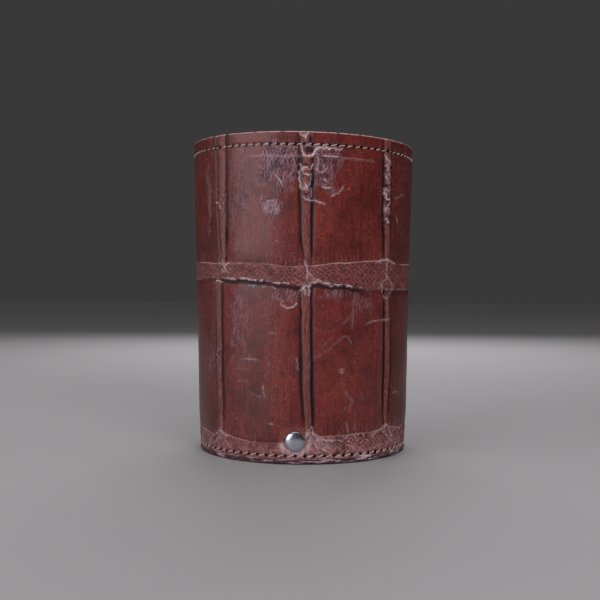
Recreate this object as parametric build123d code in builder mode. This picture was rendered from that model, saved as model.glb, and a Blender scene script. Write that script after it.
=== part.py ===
# A leather dice cup, built as a saddler builds it.
#
# Three conical layers make the wall: an embossed outer wrap, a firm leather core and a
# soft lining. They are glued, rolled up and sewn down a seam at the back. A leather pan
# with a turned-down flange is pushed in from below and carries the floor: a fibre board
# and a suede pad. One row of lockstitches closes the rim, a second one sews the foot of
# the wall to the pan's flange, and a double-cap rivet near the foot ties the front of
# the wall to that flange. The stitches lie in grooves, as far as they show on each side;
# what the leather hides of the thread is left out.
#
# Millimetres. The origin is the centre of the ring that the cup stands on, +Z points out
# of the mouth, the rivet faces -Y and the seam faces +Y.
from build123d import *
from math import pi, sin, sqrt
import os

# ---- the cup ----
height = 114.0
mouth_diameter = 83.0  # over the wrap, at the rim
foot_diameter = 78.0  # over the wrap, where it stands

# ---- wall and base materials ----
wrap_thickness = 1.6
core_thickness = 1.4
lining_thickness = 1.0
pan_thickness = 2.0
board_thickness = 1.6
pad_thickness = 1.4
glue_line = 0.05  # between any two glued faces
floor_clearance = 0.2  # round the board and the pad
edge_bevel = 0.6  # burnished edges of the wrap, the lining and the pan
pan_inner_bend = 1.2

# ---- stitching ----
thread_diameter = 0.8
thread_clearance = 0.06  # between a thread and its groove, which is half as deep as it
stitch_gap = 0.35  # between the ends of two stitches, where they go into one hole
rim_stitch_pitch = 3.0
rim_row_drop = 4.4  # from the rim down to the row
foot_stitch_pitch = 3.4
foot_row_height = 3.0
seam_stitch_pitch = 3.5
seam_end_margin = 7.5  # from the seam's ends to the rows round the foot and the rim

# ---- joints in the wall layers ----
lap_width = 8.0  # length of the skived overlap of the wrap's ends
joint_gap = 0.1  # glue between the ends of each layer
core_joint_angle = 16.0  # degrees round from the seam, so that no two joints line up
lining_joint_angle = -16.0

# ---- rivet ----
rivet_height = 8.1  # its centre above the foot
cap_diameter = 7.0
cap_rise = 1.9
cap_skirt = 0.7  # straight side of a cap, under its dome
cap_metal = 0.3
cap_lip = 0.7  # how far a cap is turned in behind the flange that it is crimped on
flange_metal = 0.35
flange_clearance = 0.03  # between a flange and the cap round it
post_diameter = 2.4
tube_bore_diameter = 2.5
tube_diameter = 3.1
rivet_hole_clearance = 0.1  # on the radius
rivet_seat_depth = 0.3  # how far the front cap is drawn into the wrap
post_end_gap = 0.6  # from the post's tip to the back flange
tube_end_gap = 0.5  # from the tube's end to the front flange

cutter_overrun = 0.8  # how far a hole's or a slit's cutter runs past the leather

# ---- worked out from the sizes above ----
slope = (mouth_diameter - foot_diameter) / 2 / height
rim_row_height = height - rim_row_drop
groove_radius = thread_diameter / 2 + thread_clearance
core_inset = wrap_thickness + glue_line
lining_inset = core_inset + core_thickness + glue_line
wall_thickness = lining_inset + lining_thickness
pan_inset = wall_thickness + glue_line
foot_thickness = pan_inset + pan_thickness

# The pan is deep enough for the rivet's back cap to clear its bend.
pan_underside = rivet_height + cap_diameter / 2 + pan_inner_bend
pan_top = pan_underside + pan_thickness
board_bottom = pan_top + glue_line
pad_bottom = board_bottom + board_thickness + glue_line


def cone_radius(z, inset=0.0):
    """Radius at height z of the cone that lies `inset` inside the wrap's outer face."""
    return foot_diameter / 2 + slope * z - inset


def stitch_count(pitch, diameter):
    """The multiple of four that comes nearest to the pitch."""
    return 4 * round(pi * diameter / pitch / 4)


rim_count = stitch_count(rim_stitch_pitch, mouth_diameter)
foot_count = stitch_count(foot_stitch_pitch, foot_diameter)
seam_low = foot_row_height + seam_end_margin
seam_high = rim_row_height - seam_end_margin
seam_count = round((seam_high - seam_low) / seam_stitch_pitch)
seam_step = (seam_high - seam_low) / seam_count


# ---- shapes that several pieces share ----
def layer_section(inset, thickness, bottom=0.0, top=height):
    """Section of one conical layer, with radius across and height up."""
    Polygon(
        (cone_radius(bottom, inset), bottom),
        (cone_radius(top, inset), top),
        (cone_radius(top, inset + thickness), top),
        (cone_radius(bottom, inset + thickness), bottom),
        align=None,
    )


def groove_section(row_height, inset):
    """Cut a row's groove from a section: half round, with its middle on the surface."""
    with Locations((cone_radius(row_height, inset), row_height)):
        Circle(groove_radius, mode=Mode.SUBTRACT)


def seam_plane(z, inset=0.0):
    """Plane on the back of the cup: X runs up the wall, and Z points out of it."""
    return Plane((0, cone_radius(z, inset), z), x_dir=(0, slope, 1), z_dir=(0, 1, -slope))


def seam_channel(bottom, top, inset, width):
    """Square cutter that runs up the back of the cup, centred on the face at that inset."""
    with BuildPart() as channel:
        with BuildSketch(Plane.XY.offset(bottom)):
            with Locations((0, cone_radius(bottom, inset))):
                Rectangle(width, width)
        extrude(amount=(top - bottom) * sqrt(1 + slope**2), dir=(0, slope, 1))
    return channel.part


def butt_joint(angle):
    """Thin upright slit, `angle` degrees round from the seam, for a layer's two ends."""
    with BuildPart() as slit:
        with BuildSketch(Plane.XY.rotated((0, 0, angle))):
            Rectangle(joint_gap, mouth_diameter / 2, align=(Align.CENTER, Align.MIN))
        extrude(amount=height)
    return slit.part


with BuildPart() as rivet_hole:
    with BuildSketch(Plane.XZ.offset(cone_radius(0, foot_thickness) - cutter_overrun)):
        with Locations((0, rivet_height)):
            Circle(tube_diameter / 2 + rivet_hole_clearance)
    extrude(amount=foot_thickness + 2 * cutter_overrun)

os.makedirs("parts", exist_ok=True)

# ---- outer wrap: its skived ends overlap in a slanted joint along the seam ----
with BuildPart() as lap_joint:
    with BuildSketch():
        with BuildLine():
            outer_y = cone_radius(0) + cutter_overrun
            inner_y = cone_radius(0, wrap_thickness) - cutter_overrun
            half_lap = lap_width / 2 * (outer_y - inner_y) / wrap_thickness
            half_gap = joint_gap / 2 * sqrt(1 + (lap_width / wrap_thickness) ** 2)
            Polyline(
                (half_lap - half_gap, outer_y),
                (half_lap + half_gap, outer_y),
                (-half_lap + half_gap, inner_y),
                (-half_lap - half_gap, inner_y),
                close=True,
            )
        make_face()
    extrude(amount=height + cutter_overrun, dir=(0, slope, 1))

with BuildPart() as rivet_seat:
    with BuildSketch(Plane.XZ.offset(cone_radius(rivet_height) - rivet_seat_depth)):
        with Locations((0, rivet_height)):
            Circle(cap_diameter / 2 + rivet_hole_clearance)
    extrude(amount=rivet_seat_depth + cutter_overrun)

with BuildPart() as outer_wrap:
    with BuildSketch(Plane.XZ) as section:
        layer_section(0, wrap_thickness)
        outer_corners = [row.sort_by(Axis.X)[-1] for row in section.vertices().group_by(Axis.Y)]
        chamfer(outer_corners, edge_bevel)
        groove_section(rim_row_height, 0)
        groove_section(foot_row_height, 0)
    revolve(axis=Axis.Z)
    add(
        [
            lap_joint.part,
            rivet_hole.part,
            rivet_seat.part,
            seam_channel(seam_low, seam_high, 0, 2 * groove_radius),
        ],
        mode=Mode.SUBTRACT,
    )
outer_wrap.part.label = "outer_wrap"
export_step(outer_wrap.part, "parts/outer_wrap.step")

# ---- core: the firm layer inside the wall ----
with BuildPart() as wall_core:
    with BuildSketch(Plane.XZ):
        layer_section(core_inset, core_thickness)
    revolve(axis=Axis.Z)
    add([butt_joint(core_joint_angle), rivet_hole.part], mode=Mode.SUBTRACT)
wall_core.part.label = "wall_core"
export_step(wall_core.part, "parts/wall_core.step")

# ---- lining: soft side towards the dice ----
with BuildPart() as wall_lining:
    with BuildSketch(Plane.XZ) as section:
        layer_section(lining_inset, lining_thickness)
        mouth_corner = section.vertices().group_by(Axis.Y)[-1].sort_by(Axis.X)[0]
        chamfer(mouth_corner, edge_bevel)
        groove_section(rim_row_height, wall_thickness)
    revolve(axis=Axis.Z)
    add(
        [
            butt_joint(lining_joint_angle),
            rivet_hole.part,
            seam_channel(seam_low, seam_high, wall_thickness, 2 * groove_radius),
        ],
        mode=Mode.SUBTRACT,
    )
wall_lining.part.label = "wall_lining"
export_step(wall_lining.part, "parts/wall_lining.step")

# The seam's threads stand out from the lining, so the pan, the board and the pad are
# notched where they pass.
seam_notch = seam_channel(
    seam_low - floor_clearance,
    pad_bottom + pad_thickness,
    wall_thickness,
    thread_diameter + 2 * floor_clearance,
)

# ---- pan: a disc of leather with its edge turned down inside the foot of the wall ----
with BuildPart() as base_pan:
    with BuildSketch(Plane.XZ) as section:
        layer_section(pan_inset, pan_thickness, top=pan_top)
        with BuildLine():
            Polyline(
                (0, pan_underside),
                (cone_radius(pan_underside, foot_thickness), pan_underside),
                (cone_radius(pan_top, foot_thickness), pan_top),
                (0, pan_top),
                close=True,
            )
        make_face()
        corners = section.vertices().filter_by(lambda corner: corner.X > 0)
        bend_corner = corners.group_by(Axis.Y)[1].sort_by(Axis.X)[0]
        fillet(bend_corner, pan_inner_bend)
        top_corner = section.vertices().group_by(Axis.Y)[-1].sort_by(Axis.X)[-1]
        fillet(top_corner, pan_inner_bend + pan_thickness)
        foot_corner = section.vertices().group_by(Axis.Y)[0].sort_by(Axis.X)[0]
        chamfer(foot_corner, edge_bevel)
        groove_section(foot_row_height, foot_thickness)
    revolve(axis=Axis.Z)
    add([rivet_hole.part, seam_notch], mode=Mode.SUBTRACT)
base_pan.part.label = "base_pan"
export_step(base_pan.part, "parts/base_pan.step")


# ---- floor: a fibre board on the pan, and a suede pad on the board ----
def floor_disc(bottom, thickness):
    """Flat disc that fits inside the lining at its own height."""
    with BuildPart() as disc:
        with BuildSketch(Plane.XY.offset(bottom)):
            Circle(cone_radius(bottom, wall_thickness) - floor_clearance)
        extrude(amount=thickness)
        add(seam_notch, mode=Mode.SUBTRACT)
    return disc.part


with BuildPart() as base_board:
    add(floor_disc(board_bottom, board_thickness))
base_board.part.label = "base_board"
export_step(base_board.part, "parts/base_board.step")

with BuildPart() as floor_pad:
    add(floor_disc(pad_bottom, pad_thickness))
floor_pad.part.label = "floor_pad"
export_step(floor_pad.part, "parts/floor_pad.step")


# ---- stitches: what shows of the thread, on both sides of each row ----
def stitch(length):
    """Straight piece of thread along X, with round ends."""
    with BuildPart() as thread:
        with BuildSketch(Plane.XZ):
            SlotOverall(length, thread_diameter)
            split(bisect_by=Plane.XZ)
        revolve(axis=Axis.X)
    return thread.part


def stitch_round(row_height, count, inset):
    """Stitch of a row round the cup, on the face at that inset, centred on +X."""
    face_radius = cone_radius(row_height, inset)
    pitch = 2 * face_radius * sin(pi / count)
    seat = Plane((face_radius, 0, row_height), x_dir=(0, 1, 0), z_dir=(1, 0, 0))
    return stitch(pitch - stitch_gap).moved(seat.location)


def seam_seats(inset):
    """Places of the seam's stitches on the face at that inset."""
    return [seam_plane(seam_low + seam_step * (index + 0.5), inset) for index in range(seam_count)]


seam_stitch = stitch(seam_step * sqrt(1 + slope**2) - stitch_gap)

with BuildPart() as rim_stitches_outside:
    with PolarLocations(0, rim_count):
        add(stitch_round(rim_row_height, rim_count, 0))
rim_stitches_outside.part.label = "rim_stitches_outside"
export_step(rim_stitches_outside.part, "parts/rim_stitches_outside.step")

with BuildPart() as rim_stitches_inside:
    with PolarLocations(0, rim_count):
        add(stitch_round(rim_row_height, rim_count, wall_thickness))
rim_stitches_inside.part.label = "rim_stitches_inside"
export_step(rim_stitches_inside.part, "parts/rim_stitches_inside.step")

with BuildPart() as foot_stitches_outside:
    with PolarLocations(0, foot_count):
        add(stitch_round(foot_row_height, foot_count, 0))
foot_stitches_outside.part.label = "foot_stitches_outside"
export_step(foot_stitches_outside.part, "parts/foot_stitches_outside.step")

with BuildPart() as foot_stitches_inside:
    with PolarLocations(0, foot_count):
        add(stitch_round(foot_row_height, foot_count, foot_thickness))
foot_stitches_inside.part.label = "foot_stitches_inside"
export_step(foot_stitches_inside.part, "parts/foot_stitches_inside.step")

with BuildPart() as seam_stitches_outside:
    with Locations(*seam_seats(0)):
        add(seam_stitch)
seam_stitches_outside.part.label = "seam_stitches_outside"
export_step(seam_stitches_outside.part, "parts/seam_stitches_outside.step")

with BuildPart() as seam_stitches_inside:
    with Locations(*seam_seats(wall_thickness)):
        add(seam_stitch)
seam_stitches_inside.part.label = "seam_stitches_inside"
export_step(seam_stitches_inside.part, "parts/seam_stitches_inside.step")

# ---- rivet: a post pressed into a tube, with a cap crimped on the flange of each ----
# Its sections are drawn with the radius across and the distance from the cup's axis up.
rivet_axis = Axis((0, 0, rivet_height), (0, -1, 0))
rivet_plane = Plane((0, 0, rivet_height), x_dir=(1, 0, 0), z_dir=(0, 0, -1))
cap_radius = cap_diameter / 2
front_seat = cone_radius(rivet_height) - rivet_seat_depth
back_wall = cone_radius(rivet_height - cap_radius, foot_thickness)
back_seat = sqrt(back_wall**2 - cap_radius**2) - flange_clearance
front_flange = front_seat + cap_metal + flange_clearance
back_flange = back_seat - cap_metal - flange_clearance
flange_radius = cap_radius - cap_metal - flange_clearance


def dome_arc(edge_radius, rise):
    """Arc from the edge of a dome that starts at the top of the skirt up to its middle."""
    sphere_radius = (edge_radius**2 + rise**2) / (2 * rise)
    RadiusArc((edge_radius, cap_skirt), (0, cap_skirt + rise), -sphere_radius)


def cap_section():
    """Half section of a domed cap of thin metal, open at y = 0 and turned in there."""
    inner_radius = cap_radius - cap_metal
    lip_radius = inner_radius - cap_lip
    with BuildLine() as outline:
        Polyline((lip_radius, 0), (cap_radius, 0), (cap_radius, cap_skirt))
        dome_arc(cap_radius, cap_rise - cap_skirt)
        Line((0, cap_rise), (0, cap_rise - cap_metal))
        dome_arc(inner_radius, cap_rise - cap_skirt - cap_metal)
        Polyline(
            (inner_radius, cap_skirt),
            (inner_radius, cap_metal),
            (lip_radius, cap_metal),
            (lip_radius, 0),
        )
    make_face(outline.edges())


with BuildPart() as rivet_cap:
    with BuildSketch(Plane((0, -front_seat, rivet_height), x_dir=(1, 0, 0), z_dir=(0, 0, -1))):
        cap_section()
    revolve(axis=rivet_axis)
rivet_cap.part.label = "rivet_cap"
export_step(rivet_cap.part, "parts/rivet_cap.step")

with BuildPart() as rivet_post:
    with BuildSketch(rivet_plane):
        Polygon(
            (0, back_flange + post_end_gap),
            (post_diameter / 2, back_flange + post_end_gap),
            (post_diameter / 2, front_flange),
            (flange_radius, front_flange),
            (flange_radius, front_flange + flange_metal),
            (0, front_flange + flange_metal),
            align=None,
        )
    revolve(axis=rivet_axis)
rivet_post.part.label = "rivet_post"
export_step(rivet_post.part, "parts/rivet_post.step")

with BuildPart() as rivet_socket:
    with BuildSketch(rivet_plane):
        Polygon(
            (0, back_flange - flange_metal),
            (flange_radius, back_flange - flange_metal),
            (flange_radius, back_flange),
            (tube_diameter / 2, back_flange),
            (tube_diameter / 2, front_flange - tube_end_gap),
            (tube_bore_diameter / 2, front_flange - tube_end_gap),
            (tube_bore_diameter / 2, back_flange),
            (0, back_flange),
            align=None,
        )
    revolve(axis=rivet_axis)
rivet_socket.part.label = "rivet_socket"
export_step(rivet_socket.part, "parts/rivet_socket.step")

with BuildPart() as rivet_back_cap:
    with BuildSketch(Plane((0, -back_seat, rivet_height), x_dir=(1, 0, 0), z_dir=(0, 0, 1))):
        cap_section()
    revolve(axis=rivet_axis)
rivet_back_cap.part.label = "rivet_back_cap"
export_step(rivet_back_cap.part, "parts/rivet_back_cap.step")
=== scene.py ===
import math

import bpy
import numpy as np
from mathutils import Matrix, Vector


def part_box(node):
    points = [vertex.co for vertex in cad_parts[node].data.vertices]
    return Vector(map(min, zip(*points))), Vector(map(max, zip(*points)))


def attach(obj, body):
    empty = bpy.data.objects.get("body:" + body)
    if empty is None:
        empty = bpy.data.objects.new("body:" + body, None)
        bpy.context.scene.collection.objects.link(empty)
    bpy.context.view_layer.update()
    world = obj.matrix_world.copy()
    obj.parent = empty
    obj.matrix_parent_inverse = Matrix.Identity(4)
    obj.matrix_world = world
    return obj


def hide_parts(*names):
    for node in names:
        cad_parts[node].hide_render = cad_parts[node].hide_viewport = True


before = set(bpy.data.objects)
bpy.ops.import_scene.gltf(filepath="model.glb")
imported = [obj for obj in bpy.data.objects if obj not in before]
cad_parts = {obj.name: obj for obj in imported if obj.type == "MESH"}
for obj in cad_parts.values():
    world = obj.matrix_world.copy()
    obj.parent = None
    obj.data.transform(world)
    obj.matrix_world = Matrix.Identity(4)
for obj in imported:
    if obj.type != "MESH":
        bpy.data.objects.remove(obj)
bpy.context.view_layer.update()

mm = 0.001


def operators(operation):
    def forward(self, other):
        return self.finish.maths(operation, self, other)

    def reflected(self, other):
        return self.finish.maths(operation, other, self)

    return forward, reflected


class Signal:  # an output socket that Python sums can be written with
    def __init__(self, finish, socket):
        self.finish, self.socket = finish, socket

    __add__, __radd__ = operators("ADD")
    __sub__, __rsub__ = operators("SUBTRACT")
    __mul__, __rmul__ = operators("MULTIPLY")
    __truediv__ = operators("DIVIDE")[0]
    __or__ = operators("MAXIMUM")[0]  # the stronger of two masks
    __and__ = operators("MINIMUM")[0]  # the weaker of two masks

    def __abs__(self):
        return self.function("ABSOLUTE")

    def function(self, name):
        return self.finish.maths(name, self)

    def axis(self, index):
        return self.finish.add("ShaderNodeSeparateXYZ", inputs={0: self}, output=index)

    def vector(self, operation, other):
        return self.finish.add("ShaderNodeVectorMath", {"operation": operation}, {0: self, 1: other})

    def span(self, low, high):  # 0 at low, 1 at high, eased between
        sockets = {"Value": self, "From Min": low, "From Max": high}
        return self.finish.add("ShaderNodeMapRange", {"interpolation_type": "SMOOTHSTEP"}, sockets)

    def noise(self, scale, detail=2, roughness=0.5, output=0):  # a scale of three numbers stretches it
        vector = self
        if isinstance(scale, tuple):
            vector, scale = self.vector("MULTIPLY", scale), 1.0
        sockets = {"Vector": vector, "Scale": scale, "Detail": detail, "Roughness": roughness}
        return self.finish.add("ShaderNodeTexNoise", inputs=sockets, output=output)

    def cells(self, scale, feature="F1"):
        return self.finish.add("ShaderNodeTexVoronoi", {"feature": feature}, {"Vector": self, "Scale": scale})


class Finish:  # a material built from expressions
    def __init__(self, name):
        self.material = bpy.data.materials.new(name)
        self.material.use_nodes = True
        self.nodes = self.material.node_tree.nodes
        self.nodes.clear()
        self.shader = self.nodes.new("ShaderNodeBsdfPrincipled")
        output = self.nodes.new("ShaderNodeOutputMaterial")
        self.wire(output.inputs["Surface"], Signal(self, self.shader.outputs[0]))

    def wire(self, socket, value):
        if isinstance(value, Signal):
            self.material.node_tree.links.new(value.socket, socket)
        else:
            socket.default_value = value

    def add(self, kind, settings=None, inputs=None, output=0):
        node = self.nodes.new(kind)
        for name, value in (settings or {}).items():
            setattr(node, name, value)
        for name, value in (inputs or {}).items():
            self.wire(node.inputs[name], value)
        return Signal(self, node.outputs[output])

    def set(self, **sockets):
        for name, value in sockets.items():
            words = "".join(" " + letter if letter.isupper() else letter for letter in name)
            words = words.strip().replace("I O R", "IOR")
            self.wire(self.shader.inputs[words], value)
        return self

    def maths(self, operation, first, second=0.0):
        return self.add("ShaderNodeMath", {"operation": operation}, {0: first, 1: second})

    def uv(self, name):
        return self.add("ShaderNodeUVMap", {"uv_map": name})

    def sheet(self):  # millimetres along and up the leather
        return self.uv("hide").vector("MULTIPLY", (1000, 1000, 1000))

    def place(self, scale=1000):  # millimetres in the piece
        return self.add("ShaderNodeTexCoord", output=3).vector("MULTIPLY", (scale, scale, scale))

    def masks(self, *names):
        return [self.add("ShaderNodeAttribute", {"attribute_name": name}, output=2) for name in names]

    def tint(self, share, first, second):  # colours are signals or screen values from 0 to 255
        first, second = (colour(*tone) if isinstance(tone, tuple) else tone for tone in (first, second))
        return self.add("ShaderNodeMix", {"data_type": "RGBA"}, {0: share, 6: first, 7: second}, output=2)

    def paint(self, share, first, second, *coats):  # a blend of two colours, then coats of (share, colour)
        base = self.tint(share, first, second)
        for share, tone in coats:
            base = self.tint(share, base, tone)
        return base

    def bump(self, height, distance, normal=None):  # the distance is in metres
        sockets = {"Strength": 1.0, "Distance": distance, "Height": height}
        if normal:
            sockets["Normal"] = normal
        return self.add("ShaderNodeBump", inputs=sockets)


def colour(red, green, blue):  # screen values from 0 to 255, as the shader's own linear ones
    def linear(value):
        value /= 255
        return value / 12.92 if value <= 0.04045 else ((value + 0.055) / 1.055) ** 2.4

    return linear(red), linear(green), linear(blue), 1.0


def eased(low, high, value):
    t = np.clip((value - low) / (high - low), 0, 1)
    return t * t * (3 - 2 * t)


def hump(value, centre, half):
    return np.exp(-(((value - centre) / half) ** 2))


def curve(points, value, column=1):
    return np.interp(value, [p[0] for p in points], [p[column] for p in points])


def makeNoise(seed):
    size = 256
    table = np.random.default_rng(seed).random((size, size)) * 2 - 1

    def noise(u, v):
        left, low = np.floor(u).astype(int), np.floor(v).astype(int)
        s, t = u - left, v - low
        s, t = s * s * (3 - 2 * s), t * t * (3 - 2 * t)

        def corner(i, j):
            return table[(left + i) % size, (low + j) % size]

        lower = corner(0, 0) * (1 - s) + corner(1, 0) * s
        upper = corner(0, 1) * (1 - s) + corner(1, 1) * s
        return lower * (1 - t) + upper * t

    return noise


def strokeField(path, x, y):  # distance to a line, negative on its right-hand side
    nearest, side = np.full(np.shape(x), 1e9), np.ones(np.shape(x))
    for (x0, y0), (x1, y1) in zip(path, path[1:]):
        dx, dy = x1 - x0, y1 - y0
        t = np.clip(((x - x0) * dx + (y - y0) * dy) / (dx * dx + dy * dy), 0, 1)
        distance = np.hypot(x - x0 - t * dx, y - y0 - t * dy)
        closer = distance < nearest
        side = np.where(closer, np.where(dx * (y - y0) >= dy * (x - x0), 1, -1), side)
        nearest = np.where(closer, distance, nearest)
    return nearest * side


def packed(low, high, count, density):
    # count stations from low to high, closer together where density is high
    fineSteps = np.linspace(low, high, 4000)
    filled = np.cumsum(density(fineSteps))
    filled = (filled - filled[0]) / (filled[-1] - filled[0])
    return np.interp(np.linspace(0, 1, count), filled, fineSteps)


wrapLow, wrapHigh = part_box("outer_wrap")
cup = dict(
    height=(wrapHigh.z - wrapLow.z) / mm,
    mouthRadius=(wrapHigh.x - wrapLow.x) / 2 / mm,
    footRadius=39.0,  # where the wrap meets the table
    meanRadius=40.25,
    wrap=1.6,
    core=1.4,
    lining=1.0,
    pan=2.0,
    glue=0.05,  # a gap between the leathers
    rimTilt=0.02,  # the hand-cut rim stands higher on the left
    rimRow=109.6,  # heights and counts of the two rings of stitches
    rimCount=88,
    footRow=3.0,
    footCount=72,
    rivetHeight=8.1,
)
cup["slope"] = (cup["mouthRadius"] - cup["footRadius"]) / cup["height"]
coreInset = cup["wrap"] + cup["glue"]
liningInset = coreInset + cup["core"] + cup["glue"]
wallThickness = liningInset + cup["lining"]
panInset = wallThickness + cup["glue"]
girth = 2 * math.pi * cup["meanRadius"]
degreeArc = np.radians(1) * cup["meanRadius"]  # millimetres to a degree
stitchRings = ((cup["rimRow"], cup["rimCount"]), (cup["footRow"], cup["footCount"]))


def coneRadius(z, inset=0.0):
    return cup["footRadius"] + cup["slope"] * z - inset


def roundCup(degrees, radius, z):  # degrees run from the rivet towards +X
    turn = np.radians(degrees)
    x, y = radius * np.sin(turn), -radius * np.cos(turn)
    z = z - cup["rimTilt"] * x * (z / cup["height"]) ** 2
    return np.stack(np.broadcast_arrays(x, y, z), axis=-1) * mm


def deselect():
    bpy.ops.object.select_all(action="DESELECT")


def takePoints(piece):
    points = np.zeros(len(piece.data.vertices) * 3)
    piece.data.vertices.foreach_get("co", points)
    return points.reshape(-1, 3)


def putPoints(piece, points):
    piece.data.vertices.foreach_set("co", np.ascontiguousarray(points, np.float32).ravel())
    piece.data.update()


def named(name):  # names the object that Blender has just made
    piece = bpy.context.object
    piece.name = piece.data.name = name
    return piece


def ringPiece(name, columns, rows):
    # A torus is a closed wall with no ends: its columns and rows are then laid on the cup.
    deselect()
    big, small = 0.04, 0.01
    bpy.ops.mesh.primitive_torus_add(
        major_segments=columns, minor_segments=rows, major_radius=big, minor_radius=small, generate_uvs=False
    )
    piece = named(name)
    x, y, z = takePoints(piece).T
    column = np.rint(np.arctan2(y, x) / (2 * math.pi) * columns).astype(int) % columns
    row = np.rint(np.arctan2(z, np.hypot(x, y) - big) / (2 * math.pi) * rows).astype(int) % rows
    return piece, column, row


def discPiece(name, columns, stations):
    # A ball is a closed skin: its rings are laid on the stations, from the middle of one face to the other.
    deselect()
    rows = len(stations) - 1
    bpy.ops.mesh.primitive_uv_sphere_add(segments=columns, ring_count=rows, radius=1.0)
    piece = named(name)
    x, y, z = takePoints(piece).T
    row = np.rint(np.arccos(np.clip(z, -1, 1)) / math.pi * rows).astype(int)
    return piece, np.degrees(np.arctan2(y, x)), row, *np.array(stations)[row].T


def smoothShade(piece, degrees):
    deselect()
    piece.select_set(True)
    bpy.context.view_layer.objects.active = piece
    bpy.ops.object.shade_smooth_by_angle(angle=math.radians(degrees))


def sheetMap(piece, degrees, up):
    # the map runs in metres along the leather; faces that cross the joint take the far end's place
    loops = np.zeros(len(piece.data.loops), int)
    piece.data.loops.foreach_get("vertex_index", loops)
    whole = girth * mm
    u, v = (degrees / 360 * whole)[loops].copy(), (up * mm)[loops]
    sizes = np.zeros(len(piece.data.polygons), int)
    piece.data.polygons.foreach_get("loop_total", sizes)
    owner = np.repeat(np.arange(len(sizes)), sizes)
    top = np.full(len(sizes), -1e9)
    np.maximum.at(top, owner, u)
    u[(top[owner] - u) > whole / 2] += whole
    layer = piece.data.uv_layers.new(name="hide")
    layer.data.foreach_set("uv", np.stack([u, v], 1).astype(np.float32).ravel())


def pointMasks(piece, **masks):
    for name, values in masks.items():
        layer = piece.data.attributes.new(name, "FLOAT", "POINT")
        layer.data.foreach_set("value", np.ascontiguousarray(values, np.float32))


def finishPiece(piece, finish, slot, *nodes):
    piece.data.materials.clear()
    piece.data.materials.append(finish.material)
    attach(piece, "root")
    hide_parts(*nodes)
    print("made", piece.name, len(piece.data.polygons), "faces")


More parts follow.
